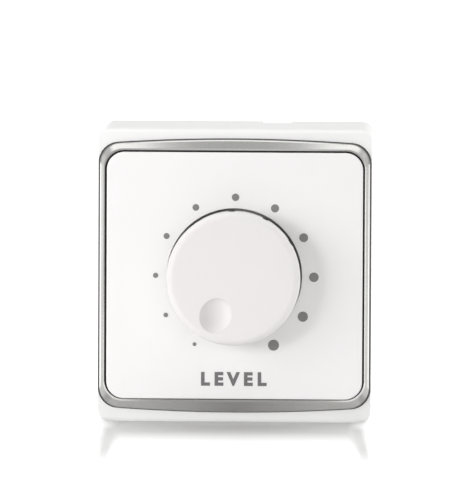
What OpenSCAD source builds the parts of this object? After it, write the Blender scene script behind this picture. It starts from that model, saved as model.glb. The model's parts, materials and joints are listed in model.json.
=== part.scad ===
// Speaker volume control in a surface box: face plate, knob, stepped switch and line transformer.
// Pieces are drawn with x to the right, y up and z forward from the wall, then stood upright:
// the part's X is to the right, Z is up, and the wall lies behind it at Y = 0.

/* [Back box] */
// Width of the box, the frame and the trim
box_w = 86; // [82:0.5:110]
// Height of the box and the frame
box_h = 92.5; // [88:0.5:120]
// Thickness of the box's side walls
box_wall = 2.2; // [1.6:0.1:3]
// Thickness of the box's back
box_floor = 2.4; // [1.6:0.1:4]
// Radius of the upright corners of box and frame
box_corner_r = 3.6; // [2.6:0.1:6]
// Free room between the box's back and the transformer's strap
rear_room = 1.2; // [0.8:0.1:20]

/* [Box openings] */
// Distance between the two wall slots
slot_pitch = 60; // [52:0.5:66]
// Height of the wall slots above the knob's axis
slot_y = 28; // [20:0.5:34]
// Width of a wall slot
slot_w = 4.4; // [3.4:0.1:5.5]
// Length of a wall slot
slot_len = 8; // [6:0.5:12]
// Diameter of the rear cable hole
cable_hole_d = 14; // [8:0.5:16]
// Distance of the rear cable hole below the knob's axis
cable_hole_y = 34; // [28:0.5:35]
// Width of the cable notch in the top wall
notch_w = 9; // [6:0.5:16]
// Depth of the cable notch, from the wall
notch_depth = 10; // [6:0.5:20]
// Distance of the cable notch right of the middle
notch_x = 12.3; // [-25:0.1:25]

/* [Frame screws] */
// Distance between the two frame screws
screw_pitch = 60.3; // [56:0.1:66]
// Diameter of a frame screw
screw_d = 4; // [3:0.5:5]
// Length of a frame screw under its head
screw_len = 16; // [12:1:25]
// Diameter of a frame screw's head
screw_head_d = 7.8; // [6:0.1:9]
// Height of a frame screw's head
screw_head_h = 2.6; // [2:0.1:4]
// Side play of a frame screw in its slot
screw_play = 1.2; // [0.4:0.1:2]
// Wall of the brass insert
insert_wall = 0.75; // [0.5:0.05:1.5]
// Length of the brass insert
insert_len = 8; // [5:0.5:12]
// Wall of the box's boss round its insert
boss_wall = 1.4; // [1:0.1:3]
// Thickness of the rib from a boss to the box's side
rib_t = 2; // [1.2:0.1:4]

/* [Frame] */
// Thickness of the frame's skirt
frame_wall = 2; // [1.4:0.1:3]
// Thickness of the frame's front band
band_t = 2; // [1.4:0.1:3]
// Thickness of the frame's web
web_t = 2.5; // [1.5:0.1:4]
// How far the skirt reaches behind the web
frame_lap = 2; // [1:0.1:6]
// How far the locating lip reaches into the box
lip_reach = 2; // [1:0.1:5]
// Thickness of the locating lip
lip_t = 1.4; // [1:0.1:2.5]
// Gap round the locating lip
lip_gap = 0.3; // [0.1:0.05:0.6]
// Free room over the frame screws' heads
head_room = 0.9; // [0.5:0.1:4]
// Rounding of the frame's front edge, top and bottom
frame_round = 1.4; // [1:0.1:3]
// Bearing width of the face plate on the frame's band
seat_w = 5; // [4:0.1:5.5]

/* [Trim and face plate] */
// White border above and below the trim's crown
end_border = 3; // [2.7:0.1:8]
// How far the trim's ends bow out
trim_bow = 1.7; // [0.5:0.1:2.6]
// Outer corner radius of the trim
trim_corner_r = 6; // [4:0.1:9]
// Width of the trim at the sides
trim_side = 2.2; // [1.6:0.1:6]
// Width of the trim at the middle of its ends
trim_end = 3.9; // [3.2:0.1:8]
// Height of the trim's outer edge
trim_edge_h = 1.2; // [0.8:0.1:3]
// Height of the trim's crest
trim_crest_h = 2.4; // [1.6:0.1:4]
// Width of the dark gap round the face plate
plate_gap = 0.5; // [0.3:0.05:1]
// Height of the gasket in that gap
gasket_h = 1.2; // [0.6:0.1:1.6]
// Thickness of the face plate
plate_t = 3.2; // [2:0.1:5]
// Corner radius of the face plate
plate_corner_r = 5.5; // [3:0.1:8]
// Thickness of the collar round the knob hole
collar_t = 1.5; // [1:0.1:2.5]
// Width of a snap hook
hook_w = 6; // [3:0.5:12]
// Thickness of a snap hook
hook_t = 1.4; // [1:0.1:2]
// Reach of a snap hook's barb
barb = 0.8; // [0.4:0.1:1.2]
// Distance of the snap hooks above and below the middle
hook_y = 18; // [12:0.5:24]

/* [Scale] */
// Distance of the dots' centres from the edge of the knob hole
dot_offset = 3.5; // [2.4:0.1:6]
// Diameter of the smallest dot
dot_small_d = 1.2; // [0.6:0.1:2]
// Diameter of the largest dot
dot_large_d = 3.15; // [2:0.05:4]
// Thickness of the printed dots
dot_t = 0.12; // [0.05:0.01:0.3]

/* [Knob] */
// Diameter of the knob
knob_d = 42.2; // [34:0.1:44]
// Height of the knob above the face plate
knob_h = 13; // [10:0.5:20]
// How far the knob's rim sinks below the plate's front
knob_sink = 1.2; // [0.6:0.1:1.6]
// Gap between the knob and its hole
knob_gap = 0.3; // [0.3:0.05:1]
// Rounding of the knob's front edge
knob_round = 2.4; // [1:0.1:4]
// Thickness of the knob's side
knob_wall = 2; // [1.6:0.1:3]
// Thickness of the knob's face
knob_top_t = 2.8; // [2.2:0.1:4]
// Diameter of the knob's hub
hub_d = 12; // [9:0.5:16]
// Number of grip notches
notch_count = 12; // [6:1:24]
// Number of ribs inside the knob
knob_ribs = 6; // [3:1:8]
// Thickness of the ribs inside the knob
knob_rib_t = 1.2; // [0.8:0.1:2]
// Height of the ribs inside the knob
knob_rib_h = 5; // [2:0.5:6]
// Width of a grip notch
grip_w = 1.5; // [0.8:0.1:2.4]
// Depth of a grip notch
grip_depth = 0.5; // [0.3:0.05:0.9]
// Distance of the finger dimple from the knob's axis
dimple_r = 12.8; // [9:0.1:13.5]
// Diameter of the finger dimple
dimple_d = 11; // [6:0.5:12]
// Depth of the finger dimple
dimple_depth = 1.4; // [0.6:0.1:1.6]
// How far the knob sits back from the first dot, in degrees
knob_set = 5; // [0:1:8]
// Thickness of the spring ring on the hub
clip_t = 0.7; // [0.5:0.1:1.2]
// Width of the spring ring on the hub
clip_w = 3; // [2:0.5:5]

/* [Switch] */
// Number of switch positions
steps = 11; // [5:1:11]
// Turn between two switch positions, in degrees
step_angle = 30; // [30:1:30]
// Diameter of the shaft
shaft_d = 6; // [5:0.25:6.5]
// Depth of the flat on the shaft
flat_depth = 1.5; // [0.5:0.1:2]
// Diameter of the shaft's tail
tail_d = 2.4; // [2:0.1:2.8]
// Running clearance of the shaft, per side
shaft_gap = 0.03; // [0.02:0.01:0.1]
// Wall of the threaded bushing
bushing_wall = 1.5; // [1:0.1:2]
// Thickness of the bushing's rear flange
flange_t = 0.6; // [0.4:0.1:1]
// Thread length of the bushing past its nut
bushing_spare = 1.2; // [0.6:0.1:2]
// Thickness of the bushing's washer
washer_t = 0.6; // [0.4:0.1:1]
// Width of the washer round the bushing
washer_w = 3.4; // [2:0.1:5]
// Width across flats of the bushing's nut
nut_flats = 12; // [11:0.5:14]
// Thickness of the bushing's nut
nut_t = 2.2; // [1.5:0.1:3]
// Thickness of the circlip
circlip_t = 0.8; // [0.5:0.1:1.2]
// Reach of the circlip past the shaft
circlip_w = 2.2; // [1:0.1:2.8]
// Depth of the circlip's groove
groove_depth = 0.6; // [0.3:0.05:0.9]
// Thickness of the switch's front plate
front_t = 1.5; // [1:0.1:2.5]
// Diameter of the switch case
case_d = 27; // [25:0.5:30]
// Wall of the switch case
case_wall = 1.2; // [0.8:0.1:2]
// Thickness of the switch case's back
case_floor = 1.2; // [0.8:0.1:2.5]
// Height of the case's feet over the circuit board
case_standoff = 2.4; // [1:0.1:5]
// Distance of the contacts from the case's wall
contact_inset = 2.8; // [2.2:0.1:3.4]
// Diameter of a contact
contact_d = 2; // [1.2:0.1:2.4]
// Height of a contact
contact_h = 1.7; // [1:0.1:2.5]
// Clearance under the wiper
wiper_gap = 0.1; // [0.05:0.05:0.3]
// Thickness of the wiper
wiper_t = 0.5; // [0.3:0.1:0.8]
// Thickness of the rotor
rotor_t = 3; // [2:0.1:5]
// Diameter of the rotor
rotor_d = 16; // [14:0.5:17]
// Diameter of the stop post
stop_d = 3.2; // [2:0.1:4]
// Gap between the rotor's finger and the case's wall
finger_gap = 1.2; // [0.6:0.1:1.6]
// Play of the rotor's finger at the stop, in degrees
stop_play = 0.6; // [0.3:0.1:2]
// Gap between the rotor and the detent wheel
wheel_gap = 0.8; // [0.4:0.1:2]
// Thickness of the detent wheel
wheel_t = 2.5; // [1.5:0.1:4]
// Diameter of the detent wheel
wheel_d = 16.8; // [15:0.1:17.5]
// Radius of a valley in the detent wheel
valley_r = 1.6; // [1.2:0.1:1.8]
// Depth of a valley in the detent wheel
valley_depth = 0.6; // [0.3:0.05:0.9]
// Clearance of the detent spring's bump in a valley
bump_gap = 0.3; // [0.2:0.05:0.5]
// Thickness of the detent spring
spring_t = 0.4; // [0.2:0.05:0.6]

/* [Circuit board] */
// Height of the circuit board
board_h = 66; // [62:1:74]
// Thickness of the circuit board
board_t = 1.6; // [0.8:0.1:2.4]
// Gap between the circuit board and the box's bosses
board_gap = 0.95; // [0.5:0.05:2]
// Distance of the board screws from the board's edges
post_inset = 3.5; // [3.3:0.1:5]
// Diameter of the frame's posts
post_d = 6.4; // [5:0.1:7]
// Diameter of a board screw
board_screw_d = 2.8; // [2:0.1:3.5]
// Length of a board screw under its head
board_screw_len = 8; // [5:1:12]
// Diameter of a board screw's head
board_head_d = 5.4; // [4:0.1:6]
// Height of a board screw's head
board_head_h = 1.8; // [1:0.1:2.5]
// How far soldered pins stand out of the board
pin_out = 0.8; // [0.4:0.1:1.5]

/* [Transformer] */
// Width of the core
core_w = 28; // [26:0.5:32]
// Height of the core over the board
core_h = 19.6; // [16:0.2:30]
// Thickness of the core's stack
core_stack = 14; // [10:0.5:16]
// Width of the core's outer legs and yokes
leg_w = 4.7; // [3.5:0.1:5]
// Wall of the bobbin
bobbin_wall = 0.9; // [0.6:0.1:1.2]
// Clearance of the bobbin in the core
bobbin_gap = 0.15; // [0.1:0.05:0.3]
// How far the bobbin stands out of the core's stack
bobbin_out = 5; // [3.6:0.1:5.5]
// How far the winding stays inside the bobbin's flanges
winding_inset = 0.5; // [0.3:0.1:1]
// Width of the bobbin's pin rails
rail_w = 3; // [2:0.1:3.2]
// Diameter of the bobbin's pins
bobbin_pin_d = 0.8; // [0.5:0.05:1]
// Distance of the transformer from the board's top edge
core_edge = 1; // [0.5:0.5:3]
// Thickness of the strap over the core
strap_t = 0.8; // [0.5:0.1:1.5]
// Width of the strap
strap_w = 10; // [6:0.5:12]
// Length of the strap's feet
foot_len = 6; // [5:0.1:7]
// Diameter of the strap's rivets
rivet_d = 2.4; // [1.6:0.1:3]

/* [Terminal block] */
// Number of terminals
ways = 4; // [2:1:6]
// Distance between terminals
way_pitch = 5.08; // [5:0.01:6]
// Depth of the terminal block
term_d = 9; // [8:0.5:12]
// Height of the terminal block over the board
term_h = 11; // [10:0.5:14]
// Distance of the terminal block from the board's lower edge
term_edge = 8.5; // [6:0.5:12]
// Wall of the terminal block
term_wall = 1.6; // [1.2:0.1:2]
// Width of a terminal's chamber
chamber_w = 3.6; // [3.2:0.1:4]
// Wall of a terminal's brass cage
cage_wall = 0.5; // [0.3:0.05:0.7]
// Diameter of a terminal's screw
term_screw_d = 2.4; // [2:0.1:2.6]
// Diameter of a terminal screw's head
term_head_d = 3.4; // [2.8:0.1:3.8]
// Diameter of a terminal's pin
term_pin_d = 1; // [0.6:0.1:1.4]

/* [Hidden] */

$fn = 64;
cut = 1;              // overshoot of a cut past a face
slip = 0.05;          // clearance of close fits, per side
ease = 0.1;           // clearance of loose fits, per side

// Stations along z, from the wall forward
z_strap = box_floor + rear_room;
z_core = z_strap + strap_t;
z_board = z_core + core_h;
z_board_front = z_board + board_t;
z_case = z_board_front + case_standoff;
z_contact = z_case + case_floor;
z_wiper = z_contact + contact_h + wiper_gap;
z_rotor = z_wiper + wiper_t;
z_wheel = z_rotor + rotor_t + wheel_gap;
z_flange = z_wheel + wheel_t + ease;
z_front_plate = z_flange + flange_t;
z_web = z_front_plate + front_t;
z_web_front = z_web + web_t;
box_depth = z_web - frame_lap;
z_front = z_web_front + screw_head_h + head_room;
z_face = z_front + plate_t;
z_knob = z_face + knob_h;
z_nut = z_web_front + washer_t;
z_bushing_end = z_nut + nut_t + bushing_spare;
z_circlip = z_bushing_end + ease;
z_hub = z_circlip + circlip_t + ease;
z_bore_end = z_knob - knob_top_t;

// Sizes that follow from the fits
trim_w = box_w;
trim_h = box_h - 2 * end_border;
plate_w = trim_w - 2 * (trim_side + plate_gap);
plate_h = trim_h - 2 * (trim_end + plate_gap);
opening_w = plate_w - 2 * seat_w;
opening_h = plate_h - 2 * seat_w;
opening_r = max(plate_corner_r - seat_w, 1);
inner_w = box_w - 2 * box_wall;
inner_h = box_h - 2 * box_wall;
inner_r = max(box_corner_r - box_wall, 0.8);
insert_r = screw_d / 2 + slip + insert_wall;
boss_r = insert_r + slip + boss_wall;
hole_r = knob_d / 2 + knob_gap;
dot_ring_r = hole_r + dot_offset;
shaft_r = shaft_d / 2;
flat_x = shaft_r - flat_depth;
bushing_r = shaft_r + shaft_gap + bushing_wall;
case_r = case_d / 2;
case_inner_r = case_r - case_wall;
contact_r = case_inner_r - contact_inset;
common_r = shaft_r + contact_d;
stop_r = contact_r + contact_d / 4;
finger_tip_r = case_inner_r - finger_gap;
sweep = step_angle * (steps - 1);
first_angle = -sweep / 2;
flat_angle = 90 - first_angle;
shaft_end_gap = 0.3;
dead_half = (360 - sweep) / 2;
finger_half = dead_half - asin(stop_d / 2 / stop_r) - stop_play;
valley_centre_r = wheel_d / 2 - valley_depth + valley_r;
bump_r = valley_r - bump_gap;
spring_y = valley_centre_r + bump_r;
spring_half = sqrt(pow(case_inner_r, 2) - pow(spring_y, 2)) + case_wall / 2;
case_foot_r = 0.85 * case_wall;
ear_r = 2.6;
ear_t = 3;
ear_rivet_r = 1;
ear_head_r = 1.8 * ear_rivet_r;
ear_x = case_r + ear_head_r + ease;
peg_y = case_inner_r - 1.6;
peg_r = 1.2;
board_w = screw_pitch - 2 * boss_r - 2 * board_gap;
post_x = board_w / 2 - post_inset;
post_y = board_h / 2 - post_inset;
board_corner_r = 1;
contact_pin_r = 0.35;
core_leg = 2 * leg_w;
window_w = (core_w - 2 * leg_w - core_leg) / 2;
flange_w = core_leg + 2 * window_w - 2 * bobbin_gap;
flange_h = core_stack + 2 * bobbin_out;
core_y = board_h / 2 - core_edge - flange_h / 2;
bobbin_z = [z_core + leg_w + bobbin_gap, z_board - leg_w - bobbin_gap];
tube_w = core_leg + 2 * bobbin_gap;
tube_h = core_stack + 2 * bobbin_gap;
rail_y = flange_h / 2 - rail_w / 2;
bobbin_pin_pitch = 5;
foot_x = core_w / 2 + strap_t + slip + foot_len / 2;
term_w = ways * way_pitch + 1;
term_y = -(board_h / 2 - term_edge - term_d / 2);
z_chamber = z_board - 0.72 * term_h;
cage_y = term_d * [-0.43, 0.16];
window_z = 0.27 * term_h;
term_head_h = 0.4 * term_head_d;

// Moves a thing to the clock angle a, clockwise from the top, at distance r
module clock(a, r) {
    rotate([0, 0, -a]) translate([0, r, 0]) children();
}

// Stands the drawing upright
module upright() {
    rotate([90, 0, 0]) children();
}

// A flat outline from z0 to z1
module slab(z0, z1) {
    translate([0, 0, z0]) linear_extrude(z1 - z0) children();
}

// A rod from z0 to z1
module rod(r, z0, z1) {
    translate([0, 0, z0]) cylinder(r = r, h = z1 - z0);
}

// A ring from z0 to z1
module ring(r_out, r_in, z0, z1) {
    difference() {
        rod(r_out, z0, z1);
        rod(r_in, z0 - cut, z1 + cut);
    }
}

// A block about a centre in x and y, from z0 to z1
module block(w, h, z0, z1) {
    translate([-w / 2, -h / 2, z0]) cube([w, h, z1 - z0]);
}

// A rectangle with round corners
module rounded(w, h, r) {
    square([w - 2 * r, h], center = true);
    square([w, h - 2 * r], center = true);
    for (x = [-1, 1], y = [-1, 1]) translate([x * (w / 2 - r), y * (h / 2 - r)]) circle(r);
}

// A slot along x with round ends
module slot(length, width) {
    square([length - width, width], center = true);
    for (x = [-1, 1]) translate([x * (length - width) / 2, 0]) circle(width / 2);
}

// The section of a shaft with a flat
module d_section(r, flat) {
    intersection() {
        circle(r);
        translate([flat - 2 * r, -r]) square([2 * r, 2 * r]);
    }
}

// A pan-head screw with a cross recess: the head's bearing face is at z = 0, the tip points to -z
module pan_screw(d, len, head_d, head_h) {
    recess_w = head_d / 6;
    difference() {
        union() {
            rod(d / 2, -len, cut / 2);
            rod(head_d / 2, 0, head_h);
        }
        for (a = [0, 90]) rotate([0, 0, a]) block(head_d * 0.6, recess_w, head_h * 0.5, head_h + cut);
    }
}

// Places at the four board screws
module at_posts() {
    for (x = [-1, 1], y = [-1, 1]) translate([x * post_x, y * post_y, 0]) children();
}

// Places at the two frame screws
module at_frame_screws() {
    for (x = [-1, 1]) translate([x * screw_pitch / 2, 0, 0]) children();
}

// Places at the switch positions, on the ring of contacts
module at_contacts() {
    for (i = [0 : steps - 1]) clock(first_angle + step_angle * i, contact_r) children();
}

// Places at the bobbin's pins
module at_bobbin_pins() {
    for (i = [-1.5 : 1.5], y = [-1, 1]) translate([i * bobbin_pin_pitch, core_y + y * rail_y, 0])
        children();
}

// Places at the terminals
module at_terminals() {
    for (i = [0 : ways - 1]) translate([(i - (ways - 1) / 2) * way_pitch, term_y, 0]) children();
}

module back_box() {
    rib_end = inner_w / 2 + box_wall / 2;
    color("whitesmoke") upright() difference() {
        union() {
            difference() {
                slab(0, box_depth) rounded(box_w, box_h, box_corner_r);
                slab(box_floor, box_depth + cut) rounded(inner_w, inner_h, inner_r);
            }
            at_frame_screws() rod(boss_r, box_floor - cut, z_web);
            for (side = [-1, 1]) translate([side * (screw_pitch / 2 + rib_end) / 2, 0, 0])
                block(rib_end - screw_pitch / 2, rib_t, box_floor - cut, box_depth - lip_reach - lip_gap);
        }
        at_frame_screws() rod(insert_r + slip, z_web - insert_len, z_web + cut);
        at_frame_screws() rod(screw_d / 2 + ease, z_web_front - screw_len - cut, z_web);
        for (side = [-1, 1]) translate([side * slot_pitch / 2, slot_y, 0])
            slab(-cut, box_floor + cut) slot(slot_len, slot_w);
        translate([0, -cable_hole_y, 0]) rod(cable_hole_d / 2, -cut, box_floor + cut);
        translate([notch_x, box_h / 2, 0]) block(notch_w, 2 * box_wall, -cut, notch_depth);
    }
}

module box_inserts() {
    color("goldenrod") upright() at_frame_screws()
        ring(insert_r, screw_d / 2 + slip, z_web - insert_len, z_web);
}

// The frame's outer body, with its front edge rounded at the top and bottom
module frame_body() {
    depth = z_front - box_depth;
    flat_h = box_h - 2 * frame_round;
    intersection() {
        slab(box_depth, z_front) rounded(box_w, box_h, box_corner_r);
        translate([-box_w / 2, 0, 0]) rotate([90, 0, 90]) linear_extrude(box_w) translate([0, box_depth]) {
            translate([-box_h / 2, 0]) square([box_h, depth - frame_round]);
            translate([-flat_h / 2, 0]) square([flat_h, depth]);
            for (y = [-1, 1]) translate([y * flat_h / 2, depth - frame_round]) circle(frame_round);
        }
    }
}

module base_frame() {
    lip_w = inner_w - 2 * lip_gap;
    lip_h = inner_h - 2 * lip_gap;
    color("whitesmoke") upright() difference() {
        union() {
            difference() {
                frame_body();
                slab(box_depth - cut, z_front - band_t)
                    rounded(box_w - 2 * frame_wall, box_h - 2 * frame_wall, inner_r);
                slab(z_front - band_t - cut, z_front + cut) rounded(opening_w, opening_h, opening_r);
            }
            slab(z_web, z_web_front) rounded(box_w - frame_wall, box_h - frame_wall, inner_r);
            difference() {
                slab(box_depth - lip_reach, z_web + cut) rounded(lip_w, lip_h, inner_r);
                slab(box_depth - lip_reach - cut, z_web)
                    rounded(lip_w - 2 * lip_t, lip_h - 2 * lip_t, inner_r);
            }
            at_posts() rod(post_d / 2, z_board_front, z_web + cut);
        }
        rod(bushing_r + ease, z_web - cut, z_web_front + cut);
        translate([0, peg_y, 0]) rod(peg_r + ease, z_web - cut, z_web_front + cut);
        at_frame_screws() slab(z_web - cut, z_web_front + cut)
            slot(screw_d + 2 * screw_play, screw_d + 2 * ease);
        at_frame_screws() rod(screw_head_d / 2 + ease, z_front - band_t - cut, z_front + cut);
        at_posts() rod(board_screw_d / 2 + slip, z_board_front - cut, z_board + board_screw_len + ease);
        at_trim_pegs() rod(trim_peg_r + slip, z_front - band_t - cut, z_front + cut);
    }
}

module box_screws() {
    color("silver") upright() at_frame_screws() translate([0, 0, z_web_front])
        pan_screw(screw_d, screw_len, screw_head_d, screw_head_h);
}

// Points along an arc about (x, y)
function arc_points(x, y, r, a0, a1, n) =
    [for (i = [0 : n]) let (a = a0 + (a1 - a0) * i / n) [x + r * cos(a), y + r * sin(a)]];

// A rectangle with round corners whose top and bottom bow out, as a loop of points
corner_points = 6;
bow_points = 16;
function bowed_loop(w, h, bow, r) =
    let (
        big_r = (w * w / 4 + bow * bow) / (2 * bow),
        big_y = h / 2 - big_r,
        x = w / 2 - r,
        y = big_y + sqrt(pow(big_r - r, 2) - x * x),
        lean = asin(x / (big_r - r)),
        crown = [
            for (i = [1 : bow_points - 1])
                let (b = lean * (1 - 2 * i / bow_points)) [big_r * sin(b), big_y + big_r * cos(b)]
        ]
    )
    concat(
        arc_points(x, y, r, 0, 90 - lean, corner_points),
        crown,
        arc_points(-x, y, r, 90 + lean, 180, corner_points),
        arc_points(-x, -y, r, 180, 270 - lean, corner_points),
        [for (p = crown) -p],
        arc_points(x, -y, r, 270 + lean, 360, corner_points)
    );

// The trim's section: share of the way from the outer to the inner edge, and height over the frame
trim_section = [
    [0, 0], [0, trim_edge_h], [0.2, (trim_edge_h + trim_crest_h) / 2 - 0.1],
    [0.85, trim_crest_h], [1, trim_crest_h - 0.3], [1, 0]
];
trim_peg_r = 0.8;
straight_bow = 0.001;

module at_trim_pegs() {
    peg_height = plate_h / 2 + plate_gap + trim_end / 2 - trim_bow / 4;
    for (x = [-1, 1], y = [-1, 1]) translate([x * box_w / 4, y * peg_height, 0]) children();
}

module trim_ring() {
    outer = bowed_loop(trim_w, trim_h, trim_bow, trim_corner_r);
    hole_w = plate_w + 2 * plate_gap;
    hole_h = plate_h + 2 * plate_gap;
    inner = bowed_loop(hole_w, hole_h, straight_bow, plate_corner_r + plate_gap);
    n = len(outer);
    rows = len(trim_section);
    points = [
        for (s = trim_section, i = [0 : n - 1])
            let (p = outer[i] * (1 - s[0]) + inner[i] * s[0]) [p[0], p[1], z_front + s[1]]
    ];
    faces = [
        for (k = [0 : rows - 1], i = [0 : n - 1])
            let (a = k * n, b = ((k + 1) % rows) * n, j = (i + 1) % n)
                each [[a + i, b + i, b + j], [a + i, b + j, a + j]]
    ];
    color("silver") upright() {
        polyhedron(points, faces);
        at_trim_pegs() rod(trim_peg_r, z_front - band_t, z_front + trim_edge_h);
    }
}

module gap_gasket() {
    rim = 2 * (plate_gap - slip);
    color("black") upright() difference() {
        slab(z_front, z_front + gasket_h) rounded(plate_w + rim, plate_h + rim, plate_corner_r + rim / 2);
        slab(z_front - cut, z_front + gasket_h + cut)
            rounded(plate_w + 2 * slip, plate_h + 2 * slip, plate_corner_r + slip);
    }
}

module face_plate() {
    hook_x = opening_w / 2 - ease - hook_t;
    color("white") upright() {
        difference() {
            union() {
                slab(z_front, z_face) rounded(plate_w, plate_h, plate_corner_r);
                rod(hole_r + collar_t, z_web_front + ease, z_face - cut);
            }
            rod(hole_r, z_web_front - cut, z_face + cut);
        }
        for (side = [-1, 1], y = [-1, 1]) translate([side * hook_x, y * hook_y, 0]) {
            translate([side * hook_t / 2, 0, 0]) block(hook_t, hook_w, z_web_front + ease, z_front + cut);
            translate([side * (hook_t + barb + ease) / 2, 0, 0])
                block(hook_t + barb + ease, hook_w, z_web_front + ease, z_front - band_t - slip);
        }
    }
}

module scale_dots() {
    color("dimgray") upright() for (i = [0 : steps - 1])
        clock(first_angle + step_angle * i, dot_ring_r)
            rod((dot_small_d + (dot_large_d - dot_small_d) * i / (steps - 1)) / 2, z_face, z_face + dot_t);
}

module knob() {
    r = knob_d / 2;
    z_rim = z_face - knob_sink;
    dimple_sphere_r = (pow(dimple_d / 2, 2) + pow(dimple_depth, 2)) / (2 * dimple_depth);
    grip_r = (pow(grip_w / 2, 2) + pow(grip_depth, 2)) / (2 * grip_depth);
    color("ghostwhite") upright() rotate([0, 0, knob_set]) difference() {
        union() {
            difference() {
                rotate_extrude() {
                    translate([0, z_rim]) square([r, z_knob - knob_round - z_rim]);
                    translate([0, z_rim]) square([r - knob_round, z_knob - z_rim]);
                    translate([r - knob_round, z_knob - knob_round]) circle(knob_round);
                }
                rod(r - knob_wall, z_rim - cut, z_bore_end);
            }
            rod(hub_d / 2, z_hub, z_bore_end + cut);
            for (i = [0 : knob_ribs - 1]) rotate([0, 0, i * 360 / knob_ribs]) translate([0, r / 2, 0])
                block(knob_rib_t, r - knob_wall, z_bore_end - knob_rib_h, z_bore_end + cut);
        }
        slab(z_hub - cut, z_bore_end) rotate([0, 0, flat_angle]) d_section(shaft_r + slip, flat_x + slip);
        for (i = [0 : notch_count - 1]) clock(360 / notch_count * i, r - grip_depth + grip_r)
            rod(grip_r, z_rim - cut, z_knob - knob_round);
        clock(first_angle, dimple_r) translate([0, 0, z_knob - dimple_depth + dimple_sphere_r])
            sphere(dimple_sphere_r);
    }
}

module knob_clip() {
    inner = hub_d / 2 + slip;
    color("lightsteelblue") upright() difference() {
        ring(inner + clip_t, inner, z_hub + clip_t, z_hub + clip_t + clip_w);
        translate([0, inner, 0]) block(inner, 2 * inner - cut, z_hub, z_hub + 2 * clip_t + clip_w);
    }
}

module switch_shaft() {
    color("gainsboro") upright() difference() {
        union() {
            rod(tail_d / 2, z_case + ease, z_contact + 2 * ease);
            rod(shaft_r, z_contact + ease, z_bore_end - shaft_end_gap);
        }
        shaft_flat(flat_angle, z_contact + ease - cut, z_flange - ease);
        shaft_flat(flat_angle + knob_set, z_hub - ease, z_bore_end + cut);
        ring(shaft_r + cut, shaft_r - groove_depth, z_circlip - slip, z_circlip + circlip_t + slip);
    }
}

// What is cut away for a flat on the shaft
module shaft_flat(angle, z0, z1) {
    rotate([0, 0, angle]) translate([flat_x + shaft_r, 0, 0]) block(2 * shaft_r, 4 * shaft_r, z0, z1);
}

module shaft_circlip() {
    color("dimgray") upright() difference() {
        ring(shaft_r + circlip_w, shaft_r - groove_depth + slip, z_circlip, z_circlip + circlip_t);
        translate([0, -shaft_r, 0]) block(shaft_r, 2 * shaft_r, z_circlip - cut, z_circlip + circlip_t + cut);
    }
}

module switch_bushing() {
    color("goldenrod") upright() difference() {
        union() {
            rod(bushing_r, z_flange, z_bushing_end);
            rod(bushing_r + 1.5, z_flange, z_front_plate);
        }
        rod(shaft_r + shaft_gap, z_flange - cut, z_bushing_end + cut);
    }
}

module bushing_washer() {
    color("silver") upright() ring(bushing_r + washer_w, bushing_r + ease, z_web_front, z_nut);
}

module bushing_nut() {
    color("silver") upright() difference() {
        translate([0, 0, z_nut]) cylinder(d = nut_flats / cos(30), h = nut_t, $fn = 6);
        rod(bushing_r + slip, z_nut - cut, z_nut + nut_t + cut);
    }
}

// The two ears by which the switch's plate and case are riveted
module switch_ears(z0, z1) {
    for (side = [-1, 1]) {
        translate([side * ear_x, 0, 0]) rod(ear_r, z0, z1);
        translate([side * (ear_x + case_inner_r) / 2, 0, 0]) block(ear_x - case_inner_r, 2 * ear_r, z0, z1);
    }
}

module switch_plate() {
    color("silver") upright() difference() {
        union() {
            rod(case_r, z_front_plate, z_web);
            switch_ears(z_front_plate, z_web);
            translate([0, peg_y, 0]) rod(peg_r, z_web - cut, z_web_front - ease);
        }
        rod(bushing_r + slip, z_front_plate - cut, z_web + cut);
        for (side = [-1, 1]) translate([side * ear_x, 0, 0])
            rod(ear_rivet_r + slip, z_front_plate - cut, z_web + cut);
    }
}

module switch_case() {
    color("saddlebrown") upright() difference() {
        union() {
            rod(case_r, z_case, z_front_plate);
            switch_ears(z_front_plate - ear_t, z_front_plate);
            for (a = [60, 180, 300]) clock(a, case_inner_r)
                rod(case_foot_r, z_board_front, z_case + case_floor / 2);
        }
        difference() {
            rod(case_inner_r, z_contact, z_front_plate + cut);
            clock(180, stop_r) rod(stop_d / 2, z_contact - cut, z_rotor + rotor_t);
        }
        rod(tail_d / 2 + shaft_gap, z_case - cut, z_contact + cut);
        at_contacts() rod(contact_pin_r + slip, z_case - cut, z_contact + cut);
        clock(0, common_r) rod(contact_pin_r + slip, z_case - cut, z_contact + cut);
        translate([0, spring_y - spring_t / 2, 0])
            block(2 * (spring_half + slip), spring_t + 2 * slip, z_wheel - slip, z_front_plate + cut);
        for (side = [-1, 1]) translate([side * ear_x, 0, 0])
            rod(ear_rivet_r + slip, z_front_plate - ear_t - cut, z_front_plate + cut);
    }
}

module switch_rivets() {
    color("silver") upright() for (side = [-1, 1]) translate([side * ear_x, 0, 0]) {
        rod(ear_rivet_r, z_front_plate - ear_t - ear_rivet_r / 2, z_web);
        rod(ear_head_r, z_front_plate - ear_t - ear_rivet_r, z_front_plate - ear_t);
    }
}

module detent_wheel() {
    lobes = 360 / step_angle;
    color("ivory") upright() slab(z_wheel, z_wheel + wheel_t) difference() {
        circle(wheel_d / 2);
        for (i = [0 : lobes - 1]) rotate(i * step_angle) translate([0, valley_centre_r]) circle(valley_r);
        rotate(flat_angle) d_section(shaft_r + slip, flat_x + slip);
    }
}

module detent_spring() {
    color("lightsteelblue") upright() {
        translate([0, spring_y - spring_t / 2, 0])
            block(2 * spring_half, spring_t, z_wheel, z_wheel + wheel_t);
        translate([0, valley_centre_r, 0]) rod(bump_r, z_wheel, z_wheel + wheel_t);
    }
}

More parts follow.
